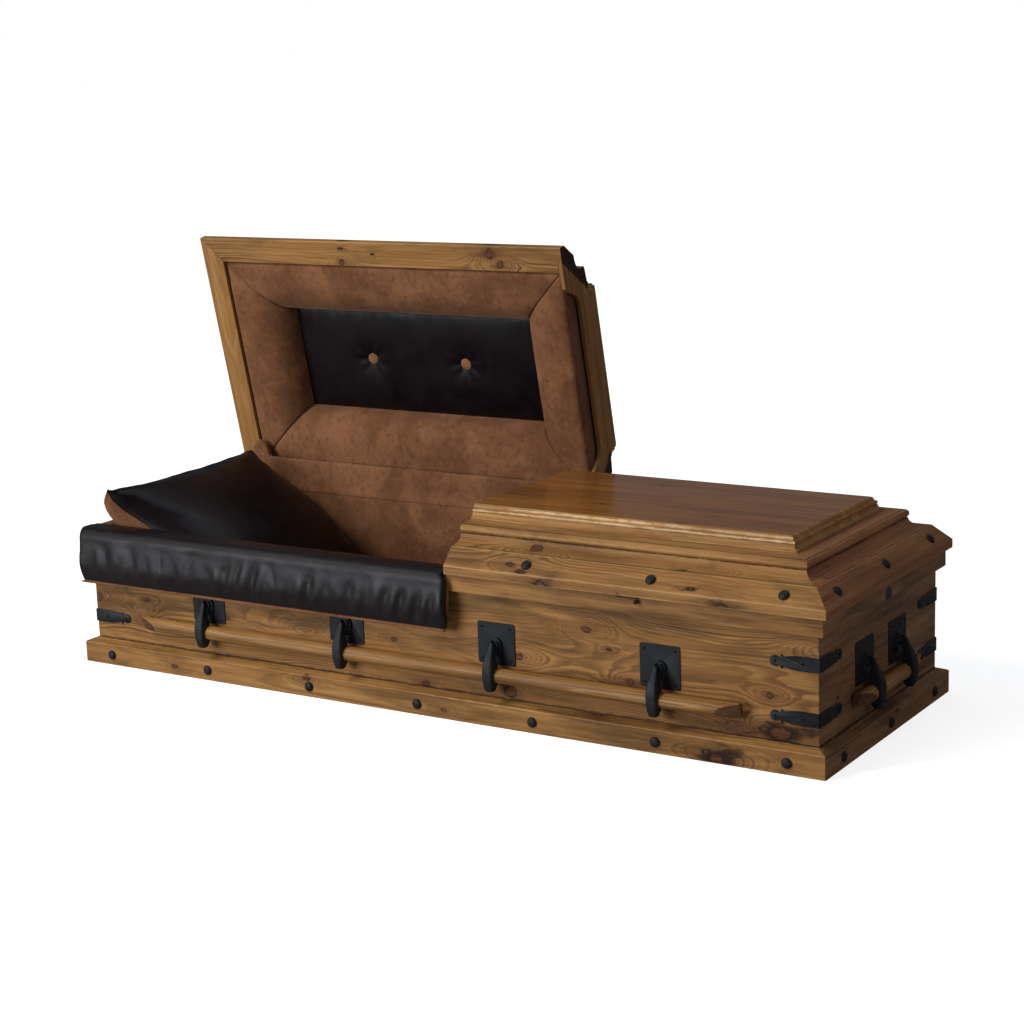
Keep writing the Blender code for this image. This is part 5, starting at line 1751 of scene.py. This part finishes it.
warm, cool = (1.0, 0.985, 0.955), (0.90, 0.95, 1.0)
studio = {
    "floorGlow": 0.78, "bounce": (0.27, 0.26, 0.25), "ambient": (0.090, 0.096, 0.108), "reach": 40.0,
    # name: place, aim, size, watts, colour, seen in gloss
    "lights": {
        "keyLight": ((-3.1, -3.6, 4.4), (0.0, 0.0, 0.2), (2.4, 2.4), 150, warm, False),
        "keySheen": ((-3.0, -3.7, 4.3), (0.0, 0.0, 0.2), (2.0, 2.0), 45, warm, True),
        "frontLight": ((-2.6, -6.4, 1.9), (-0.1, 0.0, 0.35), (2.6, 2.0), 104, warm, False),
        "frontWindow": ((-3.4, -5.8, 1.25), (-0.3, 0.0, 0.3), (3.4, 1.7), 118, cool, True),
        "sideLight": ((5.2, -2.6, 2.0), (0.9, 0.0, 0.2), (2.4, 2.0), 35, warm, False),
        "topLight": ((0.2, 0.6, 4.6), (0.2, 0.0, 0.0), (3.0, 2.0), 22, cool, True),
    },
}


def buildStudio():
    bm = bmesh.new()
    reach = studio["reach"]
    signs = ((-1, -1), (1, -1), (1, 1), (-1, 1))
    bm.faces.new([bm.verts.new((reach * x, reach * y, 0)) for x, y in signs])
    floor = addPiece("studio_floor", meshOf("studio_floor", bm, 60))
    floor.data.materials.append(paleMaterial())


def buildLight():
    for name, (place, aim, size, power, color, glossy) in studio["lights"].items():
        data = bpy.data.lights.new(name, "AREA")
        data.shape = "RECTANGLE"
        data.size, data.size_y = size
        data.energy = power
        data.color = color
        item = addPiece(name, data)
        item.location = place
        item.rotation_euler = (Vector(aim) - Vector(place)).to_track_quat("-Z", "Y").to_euler()
        item.visible_glossy = glossy
    world = bpy.data.worlds.new("studio")
    bpy.context.scene.world = world
    world.use_nodes = True
    tree = world.node_tree
    backdrop = tree.nodes["Background"]
    camera = node(tree, "ShaderNodeLightPath").outputs["Is Camera Ray"]
    tone = blend(tree, camera, studio["ambient"], (1.0, 1.0, 1.0))
    tree.links.new(tone, backdrop.inputs["Color"])
    backdrop.inputs["Strength"].default_value = 1.0
    bpy.context.scene.view_settings.view_transform = "Standard"


def buildCamera():
    seen = {"at": Vector((2.9062, -4.4863, 1.6018)), "yaw": 32.409, "pitch": -12.4397, "roll": -1.935,
            "lens": 77.15}
    yaw, pitch, roll = (math.radians(seen[key]) for key in ("yaw", "pitch", "roll"))
    forward = Vector((-math.sin(yaw) * math.cos(pitch), math.cos(yaw) * math.cos(pitch), math.sin(pitch)))
    right = Vector((math.cos(yaw), math.sin(yaw), 0))
    up = right.cross(forward)
    across = right * math.cos(roll) + up * math.sin(roll)
    above = up * math.cos(roll) - right * math.sin(roll)
    data = bpy.data.cameras.new("photoCamera")
    data.lens = seen["lens"]
    data.sensor_width = 36
    data.sensor_fit = "HORIZONTAL"
    camera = addPiece("photoCamera", data)
    turn = Matrix((across, above, -forward)).transposed().to_4x4()
    camera.matrix_world = Matrix.Translation(seen["at"]) @ turn
    bpy.context.scene.camera = camera


buildStudio()
buildLight()
buildCamera()
print("studio ready")
